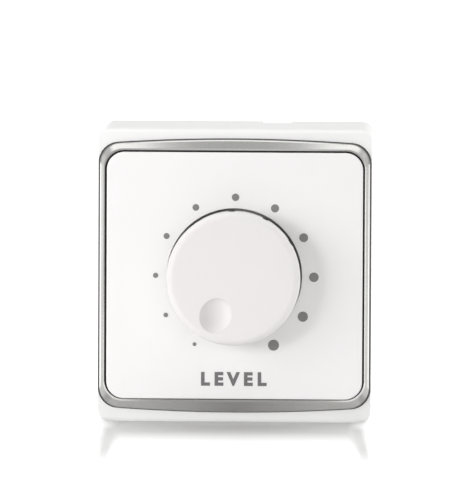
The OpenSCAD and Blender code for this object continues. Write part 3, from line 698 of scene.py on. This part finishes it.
class VOLUME_OT_stage(bpy.types.Operator):
    """Camera, floor, lamps and sky."""

    bl_idname = "volume.stage"
    bl_label = "Stage"

    # Each lamp's place is in degrees and metres from the aim. A trim lamp shows in the trim's gloss
    # alone, a plastic lamp gives diffuse light to all but the floor, and the floor lamp lights the
    # floor alone
    LAMPS = (
        Lamp("left_strip", -70.0, 10.0, 0.24, 0.16, 0.13, 0.9, "trim"),
        Lamp("right_strip", 68.0, 2.0, 0.24, 0.13, 0.3, 0.5, "trim"),
        Lamp("left_corner", -57.0, 37.0, 0.4, 0.24, 0.18, 0.45, "trim"),
        Lamp("right_corner", 57.0, 37.0, 0.4, 0.24, 0.18, 0.4, "trim"),
        Lamp("left_edge", -107.0, -6.9, 0.1411, 0.08, 0.08, 2.6, "trim"),
        Lamp("right_edge", 106.0, -6.9, 0.1414, 0.08, 0.08, 2.2, "trim"),
        Lamp("left_glint", -31.9, -20.1, 0.1253, 0.03, 0.03, 2.2, "trim"),
        Lamp("right_glint", 31.3, -8.1, 0.1182, 0.025, 0.078, 3.0, "trim"),
        Lamp("left_low_glint", -23.8, -24.3, 0.1232, 0.012, 0.012, 2.2, "trim"),
        Lamp("right_low_glint", 21.3, -25.0, 0.1208, 0.016, 0.012, 2.8, "trim"),
        Lamp("top_strip", 0.0, 59.5, 0.8, 1.0, 0.48, 2.0, "trim"),
        Lamp("left_box", -60.0, 8.0, 0.5, 0.32, 0.32, 3.9, "plastic"),
        Lamp("key_box", -35.0, 7.0, 0.8, 0.18, 0.18, 14.2, "plastic"),
        Lamp("right_box", 90.0, 8.0, 0.45, 0.26, 0.26, 4.15, "plastic"),
        Lamp("front_box", 20.0, 8.0, 1.2, 1.0, 0.6, 1.1, "plastic"),
        Lamp("roof_box", 0.0, 84.0, 0.8, 0.9, 0.6, 2.1, "plastic"),
        Lamp("back_light", 180.0, 10.0, 0.9, 0.5, 0.5, 2.0, "plastic"),
        Lamp("rear_box", 180.0, 72.0, 0.9, 0.5, 0.6, 10.0, "floor"),
    )

    def execute(self, context):
        settings = context.scene.volume_stage
        self.add_camera(context.scene, settings)
        floor = self.add_floor()
        self.add_sky(context.scene, settings)
        bpy.data.collections.new(TRIM_ALONE)
        for lamp in self.LAMPS:
            self.add_lamp(lamp, Vector(settings.aim), floor)
        context.scene.view_settings.view_transform = "Standard"
        return {"FINISHED"}

    @staticmethod
    def toward(azimuth, elevation):
        """The direction from the object to a place round it."""
        level = math.cos(elevation)
        return Vector((math.sin(azimuth) * level, -math.cos(azimuth) * level, math.sin(elevation)))

    def add_camera(self, scene, settings):
        """The camera at the photograph's viewing angle."""
        data = bpy.data.cameras.new("photo_camera")
        camera = bpy.data.objects.new("photo_camera", data)
        scene.collection.objects.link(camera)
        back = self.toward(settings.azimuth, settings.elevation)
        camera.location = Vector(settings.aim) + back * settings.distance
        camera.rotation_mode = "QUATERNION"
        turn = Quaternion((0, 0, 1), settings.roll)
        camera.rotation_quaternion = (-back).to_track_quat("-Z", "Y") @ turn
        data.sensor_fit = "HORIZONTAL"
        data.lens = data.sensor_width * settings.distance / settings.view_width
        data.clip_start, data.clip_end = 0.1, 30.0
        scene.camera = camera

    @staticmethod
    def add_floor():
        """A pale floor that keeps the object's shadow and turns plain white away from it.

        Away from the box the floor glows white for the camera, painted light over its own shade, which
        also trims the shadow at the box's sides.
        Two painted streaks in front of the box's corners, shaped as a polished floor would mirror them,
        hold that glow back so the floor's own shade shows for longer.
        Gloss sees a painted reflection: the floor glows white, but lower in front of the box's middle
        and darker beside the lower corners.
        Near the box the floor also glows for diffuse light, a painted bounce that lights the box's
        lower band.
        """
        side_start, side_fade = 0.036, 0.013
        front_start, front_fade = 0.036, 0.127
        back_fade = 0.05
        # Painted streaks: two streaks shaped like the box's mirrored corners, where the white glow is
        # held back
        streak_place, streak_width, streak_flat = 0.0384, 0.0026, 1.3
        streak_slant, streak_spread = 0.0279, 0.0018
        streak_start, streak_rise, streak_end, streak_strength = -0.1875, 8.0, 1.45, 0.93
        # Painted reflection: the glow that gloss sees is lower in front of the box's middle and dips
        # beside its lower corners
        corner_place, corner_width, corner_flat, corner_drop = 0.049, 0.005, 1.5, 0.75
        middle_shine, side_shine = 0.42, 16.0
        white, painted_bounce_glow = 0.9, 0.3
        deselect_all()
        bpy.ops.mesh.primitive_plane_add(size=12, location=(0, 0, FLOOR_LEVEL))
        floor = bpy.context.object
        floor.name = "floor"
        finish = Finish("floor_white")
        dust = finish.noise(30.0, 2.0)
        aside = abs(finish.axis("X"))
        forward = FRAME_FRONT - finish.axis("Y")
        beside = (aside - side_start) / side_fade
        before = (forward - front_start) / front_fade
        behind = finish.axis("Y") / back_fade
        drift = abs(finish.axis("X") - forward * streak_slant) - before * streak_spread
        band = (streak_flat - abs(drift - streak_place) / streak_width).clamped()
        rise = ((before - streak_start) * streak_rise).clamped()
        painted_streak = band * rise * (streak_end - before).clamped() * streak_strength
        far = beside.larger(before).larger(behind).clamped() * (1 - painted_streak)
        corner = (corner_flat - abs(aside - corner_place) / corner_width).clamped()
        sideways = aside * side_shine + middle_shine - corner * corner_drop
        painted_reflection_glow = before.larger(behind).larger(sideways).clamped()
        seen = finish.node("LightPath", output="Is Camera Ray")
        mirrored = finish.node("LightPath", output="Is Glossy Ray")
        bounced = finish.node("LightPath", output="Is Diffuse Ray")
        pale = finish.done(
            Base_Color=finish.blend(dust, (0.76, 0.76, 0.76), (0.78, 0.78, 0.78)),
            Roughness=0.25,
            # Painted light: the floor glows white for the camera away from the box, as a painted
            # reflection for gloss, and as a painted bounce for diffuse light near the box
            Emission_Color=(seen * far + mirrored * painted_reflection_glow) * white + bounced * (1 - far) * painted_bounce_glow,
            Emission_Strength=1.0,
        )
        floor.data.materials.append(pale)
        return floor

    @staticmethod
    def add_sky(scene, settings):
        """Soft light from all round, which the camera, gloss and glass see as white."""
        white = (1.0, 1.0, 1.0)
        world = bpy.data.worlds.new("studio")
        world.use_nodes = True
        sky = Graph(world.node_tree)
        seen = sky.node("LightPath", output="Is Camera Ray")
        mirrored = sky.node("LightPath", output="Is Glossy Ray")
        through = sky.node("LightPath", output="Is Transmission Ray")
        soft = sky.node("Background", inputs={"Color": white, "Strength": settings.sky})
        plain = sky.node("Background", inputs={"Color": white, "Strength": 1.0})
        direct = seen.larger(mirrored).larger(through)
        both = sky.node("MixShader", inputs={0: direct, 1: soft, 2: plain})
        sky.feed(sky.first("OUTPUT_WORLD").inputs["Surface"], both)
        scene.world = world

    def add_lamp(self, lamp, aim, floor):
        """A rectangular light that faces the aim and lights only what it is for."""
        data = bpy.data.lights.new(lamp.name, "AREA")
        data.shape = "RECTANGLE"
        data.size, data.size_y = lamp.width, lamp.height
        data.energy = lamp.radiance * lamp.width * lamp.height * math.pi
        light = bpy.data.objects.new(lamp.name, data)
        bpy.context.scene.collection.objects.link(light)
        back = self.toward(math.radians(lamp.azimuth), math.radians(lamp.elevation))
        light.location = aim + back * lamp.distance
        light.rotation_mode = "QUATERNION"
        light.rotation_quaternion = (-back).to_track_quat("-Z", "Y")
        light.visible_camera = False
        light.visible_glossy = lamp.target == "trim"
        light.visible_diffuse = lamp.target != "trim"
        if lamp.target == "trim":
            light.light_linking.receiver_collection = bpy.data.collections[TRIM_ALONE]
            return
        receivers = bpy.data.collections.new(f"lit_by_{lamp.name}")
        receivers.objects.link(floor)
        if lamp.target != "floor":
            receivers.collection_objects[0].light_linking.link_state = "EXCLUDE"
        light.light_linking.receiver_collection = receivers


class VOLUME_OT_shell(bpy.types.Operator):
    """Box and frame of white plastic, with rounded edges."""

    bl_idname = "volume.shell"
    bl_label = "Box and frame"

    def execute(self, context):
        sizes = context.scene.volume_shell
        base = context.scene.volume_colours.shell
        white = moulded_plastic("white_shell", base, roughness=0.42, grain=5000.0, relief=0.08)
        for node, name in (("back_box", "box_shell"), ("base_frame", "front_frame")):
            piece = softened_copy(node, name, sizes.edge, sizes.edge_steps)
            place(piece, HOUSING, "white_shell", white, node)
        return {"FINISHED"}


class VOLUME_OT_trim(bpy.types.Operator):
    """Bowed silver trim round the face plate."""

    bl_idname = "volume.trim"
    bl_label = "Trim"

    def execute(self, context):
        sizes = context.scene.volume_trim
        facet = math.radians(12)
        outer = self.outline("silver_trim", 2 * TRIM_HALF.x, 2 * TRIM_HALF.z, sizes.bow, sizes.corner)
        self.raise_wall(outer, sizes.edge_height, sizes.side_draft, sizes.end_draft)
        hole_x = PLATE_HIGH.x + sizes.opening
        hole_z = PLATE_HIGH.z + sizes.opening
        inner = self.outline("opening", 2 * hole_x, 2 * hole_z - sizes.sill, 0.0, sizes.inner_corner)
        self.raise_wall(inner, sizes.crest_height, 0.0, 0.0)
        inner.location.z = sizes.sill / 2
        settle(inner)
        trim = join([outer, inner])
        front = FRAME_FRONT - sizes.edge_height / 2
        with editing(trim):
            pick(trim, "EDGE", lambda edge: edge.is_boundary and all_at(edge, lambda co: co.y < front))
            bpy.ops.mesh.bridge_edge_loops()
            # The two loops at the back lie in one plane, so they are filled and not bridged
            pick(trim, "EDGE", lambda edge: edge.is_boundary)
            bpy.ops.mesh.fill()
        clean(trim)
        self.bevel_loop(trim, FRAME_FRONT - sizes.edge_height, sizes.outer_bevel, steps=2)
        self.bevel_loop(trim, FRAME_FRONT - sizes.crest_height, sizes.inner_bevel, steps=2)
        self.add_pegs(trim, sizes)
        smooth(trim, facet)
        silver = satin_silver(context.scene.volume_colours.silver)
        place(trim, HOUSING, "satin_silver", silver, "trim_ring")
        bpy.data.collections[TRIM_ALONE].objects.link(trim)
        return {"FINISHED"}

    @staticmethod
    def outline(name, width, height, bow, corner):
        """A flat face with round corners whose ends bow out."""
        deselect_all()
        bpy.ops.mesh.primitive_plane_add(
            size=1, location=(0, FRAME_FRONT, 0), rotation=(math.pi / 2, 0, 0)
        )
        piece = bpy.context.object
        piece.name = name
        end = height / 2 - bow
        piece.scale = (width, 2 * end, 1)
        settle(piece)
        with editing(piece):
            bpy.ops.mesh.select_all(action="SELECT")
            bpy.ops.mesh.bevel(offset=corner, segments=10, affect="VERTICES")
            pick(piece, "EDGE", lambda edge: all_at(edge, lambda co: abs(abs(co.z) - end) < HAIR))
            bpy.ops.mesh.subdivide(number_cuts=31)
            for side in (1, -1) if bow else ():
                pick(
                    piece, "VERT",
                    lambda vertex: abs(vertex.co.x) < HAIR and vertex.co.z * side > 0,
                )
                bpy.ops.transform.translate(
                    value=(0, 0, side * bow), use_proportional_edit=True,
                    proportional_edit_falloff="INVERSE_SQUARE", proportional_size=width / 2,
                )
        return piece

    @staticmethod
    def raise_wall(piece, height, side_lean, end_lean):
        """Extrudes an outline forward into an open wall that leans in."""
        half = piece.dimensions / 2
        with editing(piece):
            bpy.ops.mesh.select_all(action="SELECT")
            bpy.ops.mesh.extrude_region_move(TRANSFORM_OT_translate={"value": (0, -height, 0)})
            bpy.ops.transform.resize(
                value=(1 - side_lean / half.x, 1, 1 - end_lean / half.z),
                center_override=(0, FRAME_FRONT, 0),
            )
            pick(piece, "FACE", lambda face: abs(face.normal.y) > FACING)
            bpy.ops.mesh.delete(type="ONLY_FACE")

    @staticmethod
    def bevel_loop(trim, y, width, steps):
        """Bevels the edge loop that lies at a depth."""
        with editing(trim):
            pick(trim, "EDGE", lambda edge: all_at(edge, lambda co: abs(co.y - y) < HAIR))
            bpy.ops.mesh.bevel(offset=width, segments=steps, affect="EDGES")

    @staticmethod
    def add_pegs(trim, sizes):
        """Four pegs behind the trim's ends, which fix it to the frame."""
        height = (PLATE_HIGH.z + sizes.opening + TRIM_HALF.z - sizes.bow / 2) / 2
        front = FRAME_FRONT - sizes.edge_height / 2
        back = FRAME_FRONT + sizes.peg_length
        for x in (-TRIM_HALF.x / 2, TRIM_HALF.x / 2):
            for z in (-height, height):
                peg = add_rod("peg", sizes.peg_radius, front, back, x, z, sides=24)
                combine(trim, peg, "UNION")


class VOLUME_OT_plate(bpy.types.Operator):
    """White face plate with the knob hole, its collar and four snap hooks."""

    bl_idname = "volume.plate"
    bl_label = "Face plate"

    def execute(self, context):
        sizes = context.scene.volume_plate
        opening = context.scene.volume_trim.opening
        sill = context.scene.volume_trim.sill
        back = PLATE_LOW.y + sizes.thickness
        left = PLATE_LOW.x - opening + sizes.gap_left
        right = PLATE_HIGH.x + opening - sizes.gap_right
        bottom = PLATE_LOW.z - opening + sill + sizes.gap_bottom
        top = PLATE_HIGH.z + opening - sizes.gap_top
        plate = add_block("white_face_plate", (left, PLATE_LOW.y, bottom), (right, back, top))
        with editing(plate):
            pick(plate, "EDGE", lambda edge: abs(edge.verts[0].co.y - edge.verts[1].co.y) > HAIR)
            bpy.ops.mesh.bevel(offset=sizes.corner, segments=12, affect="EDGES")
            pick(plate, "EDGE", lambda edge: all_at(edge, lambda co: abs(co.y - PLATE_LOW.y) < HAIR))
            bpy.ops.mesh.bevel(offset=sizes.edge, segments=4, affect="EDGES")
        collar_radius = sizes.hole_radius + sizes.collar
        middle = PLATE_LOW.y + sizes.thickness / 2
        collar = add_rod("collar", collar_radius, middle, PLATE_HIGH.y, z=sizes.hole_rise, sides=128)
        combine(plate, collar, "UNION")
        before, behind = PLATE_LOW.y - OVERSHOOT, PLATE_HIGH.y + OVERSHOOT
        hole = add_rod("hole", sizes.hole_radius, before, behind, z=sizes.hole_rise, sides=160)
        combine(plate, hole, "DIFFERENCE")
        self.add_hooks(plate, sizes, back)
        with editing(plate):
            pick(plate, "EDGE", lambda edge: self.on_hole_rim(edge, sizes))
            bpy.ops.mesh.bevel(offset=sizes.hole_edge, segments=2, affect="EDGES")
        smooth(plate)
        base = context.scene.volume_colours.plate
        white = moulded_plastic("white_plate", base, roughness=0.34, grain=7000.0, relief=0.04)
        place(plate, HOUSING, "white_plate", white, "face_plate")
        return {"FINISHED"}

    @staticmethod
    def on_hole_rim(edge, sizes):
        """True for the front edge of the knob hole."""

        def at_rim(co):
            off = math.hypot(co.x, co.z - sizes.hole_rise) - sizes.hole_radius
            return abs(co.y - PLATE_LOW.y) < HAIR and abs(off) < 5 * HAIR

        return all_at(edge, at_rim)

    @staticmethod
    def add_hooks(plate, sizes, back):
        """Four snap hooks, each a stem with a barb."""
        outside = PLATE_HIGH.x - sizes.hook_inset
        inside = outside - sizes.hook_thickness
        half = sizes.hook_width / 2
        stem = (outside, back - sizes.hook_root)
        barb = (outside + sizes.hook_barb, FRAME_FRONT + sizes.hook_reach)
        for side in (-1, 1):
            for z in (-sizes.hook_height, sizes.hook_height):
                for outer, front in (stem, barb):
                    low_x, high_x = sorted((side * inside, side * outer))
                    low = (low_x, front, z - half)
                    high = (high_x, PLATE_HIGH.y, z + half)
                    combine(plate, add_block("hook", low, high), "UNION")


class VOLUME_OT_dots(bpy.types.Operator):
    """Printed dots that grow clockwise round the knob."""

    bl_idname = "volume.dots"
    bl_label = "Printed dots"

    def execute(self, context):
        sizes = context.scene.volume_dots
        front = PLATE_LOW.y - sizes.ink
        first = add_rod("printed_dots", sizes.smallest / 2, front, PLATE_LOW.y, sides=48)
        with editing(first):
            pick(first, "EDGE", lambda edge: all_at(edge, lambda co: abs(co.y - front) < HAIR))
            bpy.ops.mesh.bevel(offset=0.6 * sizes.ink, segments=2, affect="EDGES")
        dots = [self.grown_dot(first, sizes, index) for index in range(sizes.count)]
        bpy.data.objects.remove(first)
        piece = join(dots)
        piece.name = "printed_dots"
        smooth(piece)
        ink = printed_ink("grey_ink", context.scene.volume_colours.ink)
        place(piece, HOUSING, "grey_ink", ink, "scale_dots")
        return {"FINISHED"}

    @staticmethod
    def grown_dot(first, sizes, index):
        """A copy of the smallest dot, grown and put at its place on the ring."""
        make_active(first)
        bpy.ops.object.duplicate()
        dot = bpy.context.object
        share = index / (sizes.count - 1)
        grow = 1 + (sizes.largest / sizes.smallest - 1) * share
        turn = sizes.first + sizes.step * index
        dot.scale = (grow, 1, grow)
        dot.location = (sizes.shift + sizes.ring * math.sin(turn), 0, sizes.ring * math.cos(turn))
        return settle(dot)


class VOLUME_OT_word(bpy.types.Operator):
    """Printed word under the scale."""

    bl_idname = "volume.word"
    bl_label = "Printed word"

    def execute(self, context):
        sizes = context.scene.volume_word
        deselect_all()
        bpy.ops.object.text_add(rotation=(math.pi / 2, 0, 0))
        word = bpy.context.object
        word.name = "level_word"
        word.data.body = sizes.text
        word.data.align_x = "CENTER"
        word.data.align_y = "CENTER"
        word.data.offset = sizes.weight
        word.data.space_character = sizes.spacing
        # Any depth will do here, because the letters are then brought to their height and thickness
        word.data.extrude = 0.5
        bpy.ops.object.convert(target="MESH")
        settle(word)
        places = [vertex.co for vertex in word.data.vertices]
        low = Vector([min(parts) for parts in zip(*places)])
        high = Vector([max(parts) for parts in zip(*places)])
        grow = sizes.height / (high.z - low.z)
        word.scale = (grow, sizes.ink / (high.y - low.y), grow)
        goal = Vector((0.0, PLATE_LOW.y - sizes.ink / 2, -sizes.drop))
        word.location = goal - (low + high) / 2 * word.scale
        settle(word)
        clean(word)
        ink = printed_ink("dark_ink", context.scene.volume_colours.word_ink)
        place(word, HOUSING, "grey_ink", ink)
        return {"FINISHED"}


class VOLUME_OT_knob(bpy.types.Operator):
    """White knob with grip notches, a finger dimple, a hub and ribs."""

    bl_idname = "volume.knob"
    bl_label = "Knob"

    def execute(self, context):
        sizes = context.scene.volume_knob
        radius = KNOB_HIGH.x
        rim = PLATE_LOW.y + sizes.sink
        floor = KNOB_LOW.y + sizes.face
        knob = add_rod("white_knob", radius, KNOB_LOW.y, rim, sides=192)
        shrink = 1 - sizes.taper / radius
        with editing(knob):
            pick(knob, "VERT", lambda vertex: abs(vertex.co.y - rim) < HAIR)
            bpy.ops.transform.resize(value=(shrink, 1, shrink), center_override=(0, rim, 0))
            pick(knob, "EDGE", lambda edge: all_at(edge, lambda co: abs(co.y - KNOB_LOW.y) < HAIR))
            bpy.ops.mesh.bevel(offset=sizes.rounding, segments=10, affect="EDGES")
            pick(knob, "FACE", lambda face: face.normal.y > FACING)
            bpy.ops.mesh.inset(thickness=sizes.wall)
            inward = {"value": (0, floor - rim, 0)}
            bpy.ops.mesh.extrude_region_move(TRANSFORM_OT_translate=inward)
        hub = add_rod("hub", sizes.hub_radius, floor - sizes.face / 2, KNOB_HIGH.y, sides=64)
        combine(knob, hub, "UNION")
        self.add_ribs(knob, sizes, radius, floor)
        self.cut_bore(knob, sizes)
        self.cut_notches(knob, sizes, radius, rim)
        self.cut_dimple(knob, sizes)
        smooth(knob)
        # Painted shade: the knob's side darkens towards the plate, where shade falls in the gap round
        # the knob.
        side_shade = 0.62
        painted_shade = (KNOB_LOW.y + sizes.rounding, PLATE_LOW.y, side_shade)
        base = context.scene.volume_colours.knob
        white = moulded_plastic("white_knob", base, roughness=0.4, grain=6000.0, relief=0.05, painted_shade=painted_shade)
        place(knob, DIAL, "white_knob", white, "knob")
        return {"FINISHED"}

    @staticmethod
    def add_ribs(knob, sizes, radius, floor):
        """Ribs from the hub to the side."""
        half = sizes.rib / 2
        low = (-half, floor - sizes.face / 2, sizes.hub_radius - half)
        high = (half, floor + sizes.rib_height, radius - sizes.wall / 2)
        rib = add_block("rib", low, high)
        combine(knob, copies_round_axis(rib, sizes.rib_count), "UNION")

    @staticmethod
    def cut_bore(knob, sizes):
        """A round bore with one flat, cut from behind."""
        end = KNOB_LOW.y + sizes.bore_end
        bore = add_rod("bore", sizes.bore_radius, end, KNOB_HIGH.y + OVERSHOOT)
        outward = Vector((math.sin(sizes.pointer), 0, math.cos(sizes.pointer)))
        with editing(bore):
            bpy.ops.mesh.select_all(action="SELECT")
            bpy.ops.mesh.bisect(
                plane_co=outward * sizes.bore_flat, plane_no=outward, use_fill=True, clear_outer=True
            )
        combine(knob, bore, "DIFFERENCE")

    @staticmethod
    def cut_notches(knob, sizes, radius, rim):
        """Grip notches round the side, which follow its taper and run out under the rounded rim."""
        distance = radius - sizes.notch_depth + sizes.notch_radius
        front = KNOB_LOW.y + sizes.rounding
        back = rim + OVERSHOOT
        notch = add_rod("notch", sizes.notch_radius, front, back, z=distance, sides=32)
        lean = sizes.taper * (back - KNOB_LOW.y) / (rim - KNOB_LOW.y)
        with editing(notch):
            pick(notch, "VERT", lambda vertex: abs(vertex.co.y - back) < HAIR)
            bpy.ops.transform.translate(value=(0, 0, -lean))
            pick(notch, "EDGE", lambda edge: all_at(edge, lambda co: abs(co.y - front) < HAIR))
            bpy.ops.mesh.bevel(offset=0.9 * sizes.notch_radius, segments=5, affect="EDGES")
        notches = copies_round_axis(notch, sizes.notch_count, sizes.notch_turn)
        combine(knob, notches, "DIFFERENCE")

    @staticmethod
    def cut_dimple(knob, sizes):
        """An oval hollow, cut with the tip of a flattened ball, with a soft rim."""
        reach = sizes.dimple_ball
        outside = reach - sizes.dimple_depth
        share = math.sqrt(1 - (outside / reach) ** 2)
        deselect_all()
        bpy.ops.mesh.primitive_uv_sphere_add(
            segments=128, ring_count=128, radius=1, rotation=(math.pi / 2, 0, 0),
            location=(0, KNOB_LOW.y - outside, sizes.dimple_distance),
        )
        ball = bpy.context.object
        ball.scale = (sizes.dimple_width / 2 / share, sizes.dimple_length / 2 / share, reach)
        settle(ball)
        ball.matrix_world = Matrix.Rotation(sizes.pointer, 4, "Y")
        settle(ball)
        combine(knob, ball, "DIFFERENCE")
        outward = Vector((math.sin(sizes.pointer), 0, math.cos(sizes.pointer)))
        middle = Vector((0, KNOB_LOW.y, 0)) + outward * sizes.dimple_distance
        crease = math.radians(5)

        def on_rim(co):
            return abs(co.y - KNOB_LOW.y) < HAIR and (co - middle).length < 0.6 * sizes.dimple_length

        with editing(knob):
            pick(
                knob, "EDGE",
                lambda edge: all_at(edge, on_rim) and edge.calc_face_angle(0.0) > crease,
            )
            bpy.ops.mesh.bevel(offset=sizes.dimple_edge, segments=3, affect="EDGES")


class VOLUME_OT_inner_works(bpy.types.Operator):
    """Finishes of the pieces that stay as they are in the CAD model."""

    bl_idname = "volume.inner_works"
    bl_label = "Finishes of the CAD pieces"

    def execute(self, context):
        colours = context.scene.volume_colours
        turned = (600.0, 90.0, 600.0)
        rolled = (2500.0, 2500.0, 60.0)
        finishes = {
            "black_rubber": black_rubber(colours.rubber),
            "brass": worked_metal("brass", (0.62, 0.43, 0.16), 0.28, turned, 0.15),
            "plated_steel": worked_metal("plated_steel", (0.55, 0.55, 0.53), 0.33, rolled, 0.1),
            "spring_steel": worked_metal("spring_steel", (0.27, 0.29, 0.33), 0.3, rolled, 0.1),
            "brown_phenolic": brown_phenolic(),
            "ivory_nylon": moulded_plastic("ivory_nylon", (0.78, 0.73, 0.58), 0.45, 3000.0, 0.1),
            "dark_plastic": moulded_plastic("dark_plastic", (0.025, 0.025, 0.027), 0.45, 3000.0, 0.12),
            "copper": worked_metal("copper", (0.72, 0.36, 0.2), 0.3, rolled, 0.1),
            "board_green": board_green(),
            "lamination_steel": lamination_steel(),
            "winding_tape": winding_tape(),
            "terminal_green": moulded_plastic("terminal_green", (0.04, 0.25, 0.1), 0.4, 3000.0, 0.1),
        }
        for part in frame["record"]["subparts"]:
            if part["material_slot"] in finishes:
                node = frame["nodes"][part["node"]]
                node.data.materials.clear()
                node.data.materials.append(finishes[part["material_slot"]])
        return {"FINISHED"}


class VOLUME_PT_panel(bpy.types.Panel):
    """Sidebar panel with the pieces and their sizes."""

    bl_idname = "VOLUME_PT_panel"
    bl_label = "Speaker volume control"
    bl_space_type = "VIEW_3D"
    bl_region_type = "UI"
    bl_category = "Volume"

    def draw(self, context):
        for operator in OPERATORS:
            self.layout.operator(operator.bl_idname)
        for key in GROUPS:
            group = getattr(context.scene, key)
            box = self.layout.box()
            for name in group.bl_rna.properties.keys():
                if name not in ("rna_type", "name"):
                    box.prop(group, name)


GROUPS = {
    "volume_shell": ShellSizes,
    "volume_trim": TrimSizes,
    "volume_plate": PlateSizes,
    "volume_dots": DotSizes,
    "volume_word": WordSizes,
    "volume_knob": KnobSizes,
    "volume_colours": Colours,
    "volume_stage": StageSettings,
}
OPERATORS = (
    VOLUME_OT_stage, VOLUME_OT_shell, VOLUME_OT_trim, VOLUME_OT_plate,
    VOLUME_OT_dots, VOLUME_OT_word, VOLUME_OT_knob, VOLUME_OT_inner_works,
)


def register():
    """Registers the classes and gives each scene its sizes."""
    for kind in (*GROUPS.values(), *OPERATORS, VOLUME_PT_panel):
        bpy.utils.register_class(kind)
    for key, kind in GROUPS.items():
        setattr(bpy.types.Scene, key, PointerProperty(type=kind))


def unregister():
    """Takes the sizes and the classes out again."""
    for key in GROUPS:
        delattr(bpy.types.Scene, key)
    for kind in reversed((*GROUPS.values(), *OPERATORS, VOLUME_PT_panel)):
        bpy.utils.unregister_class(kind)


def main():
    """Registers the add-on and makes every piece."""
    register()
    bpy.ops.volume.stage()
    bpy.ops.volume.shell()
    bpy.ops.volume.trim()
    bpy.ops.volume.plate()
    bpy.ops.volume.dots()
    bpy.ops.volume.word()
    bpy.ops.volume.knob()
    bpy.ops.volume.inner_works()


if __name__ == "__main__":
    main()
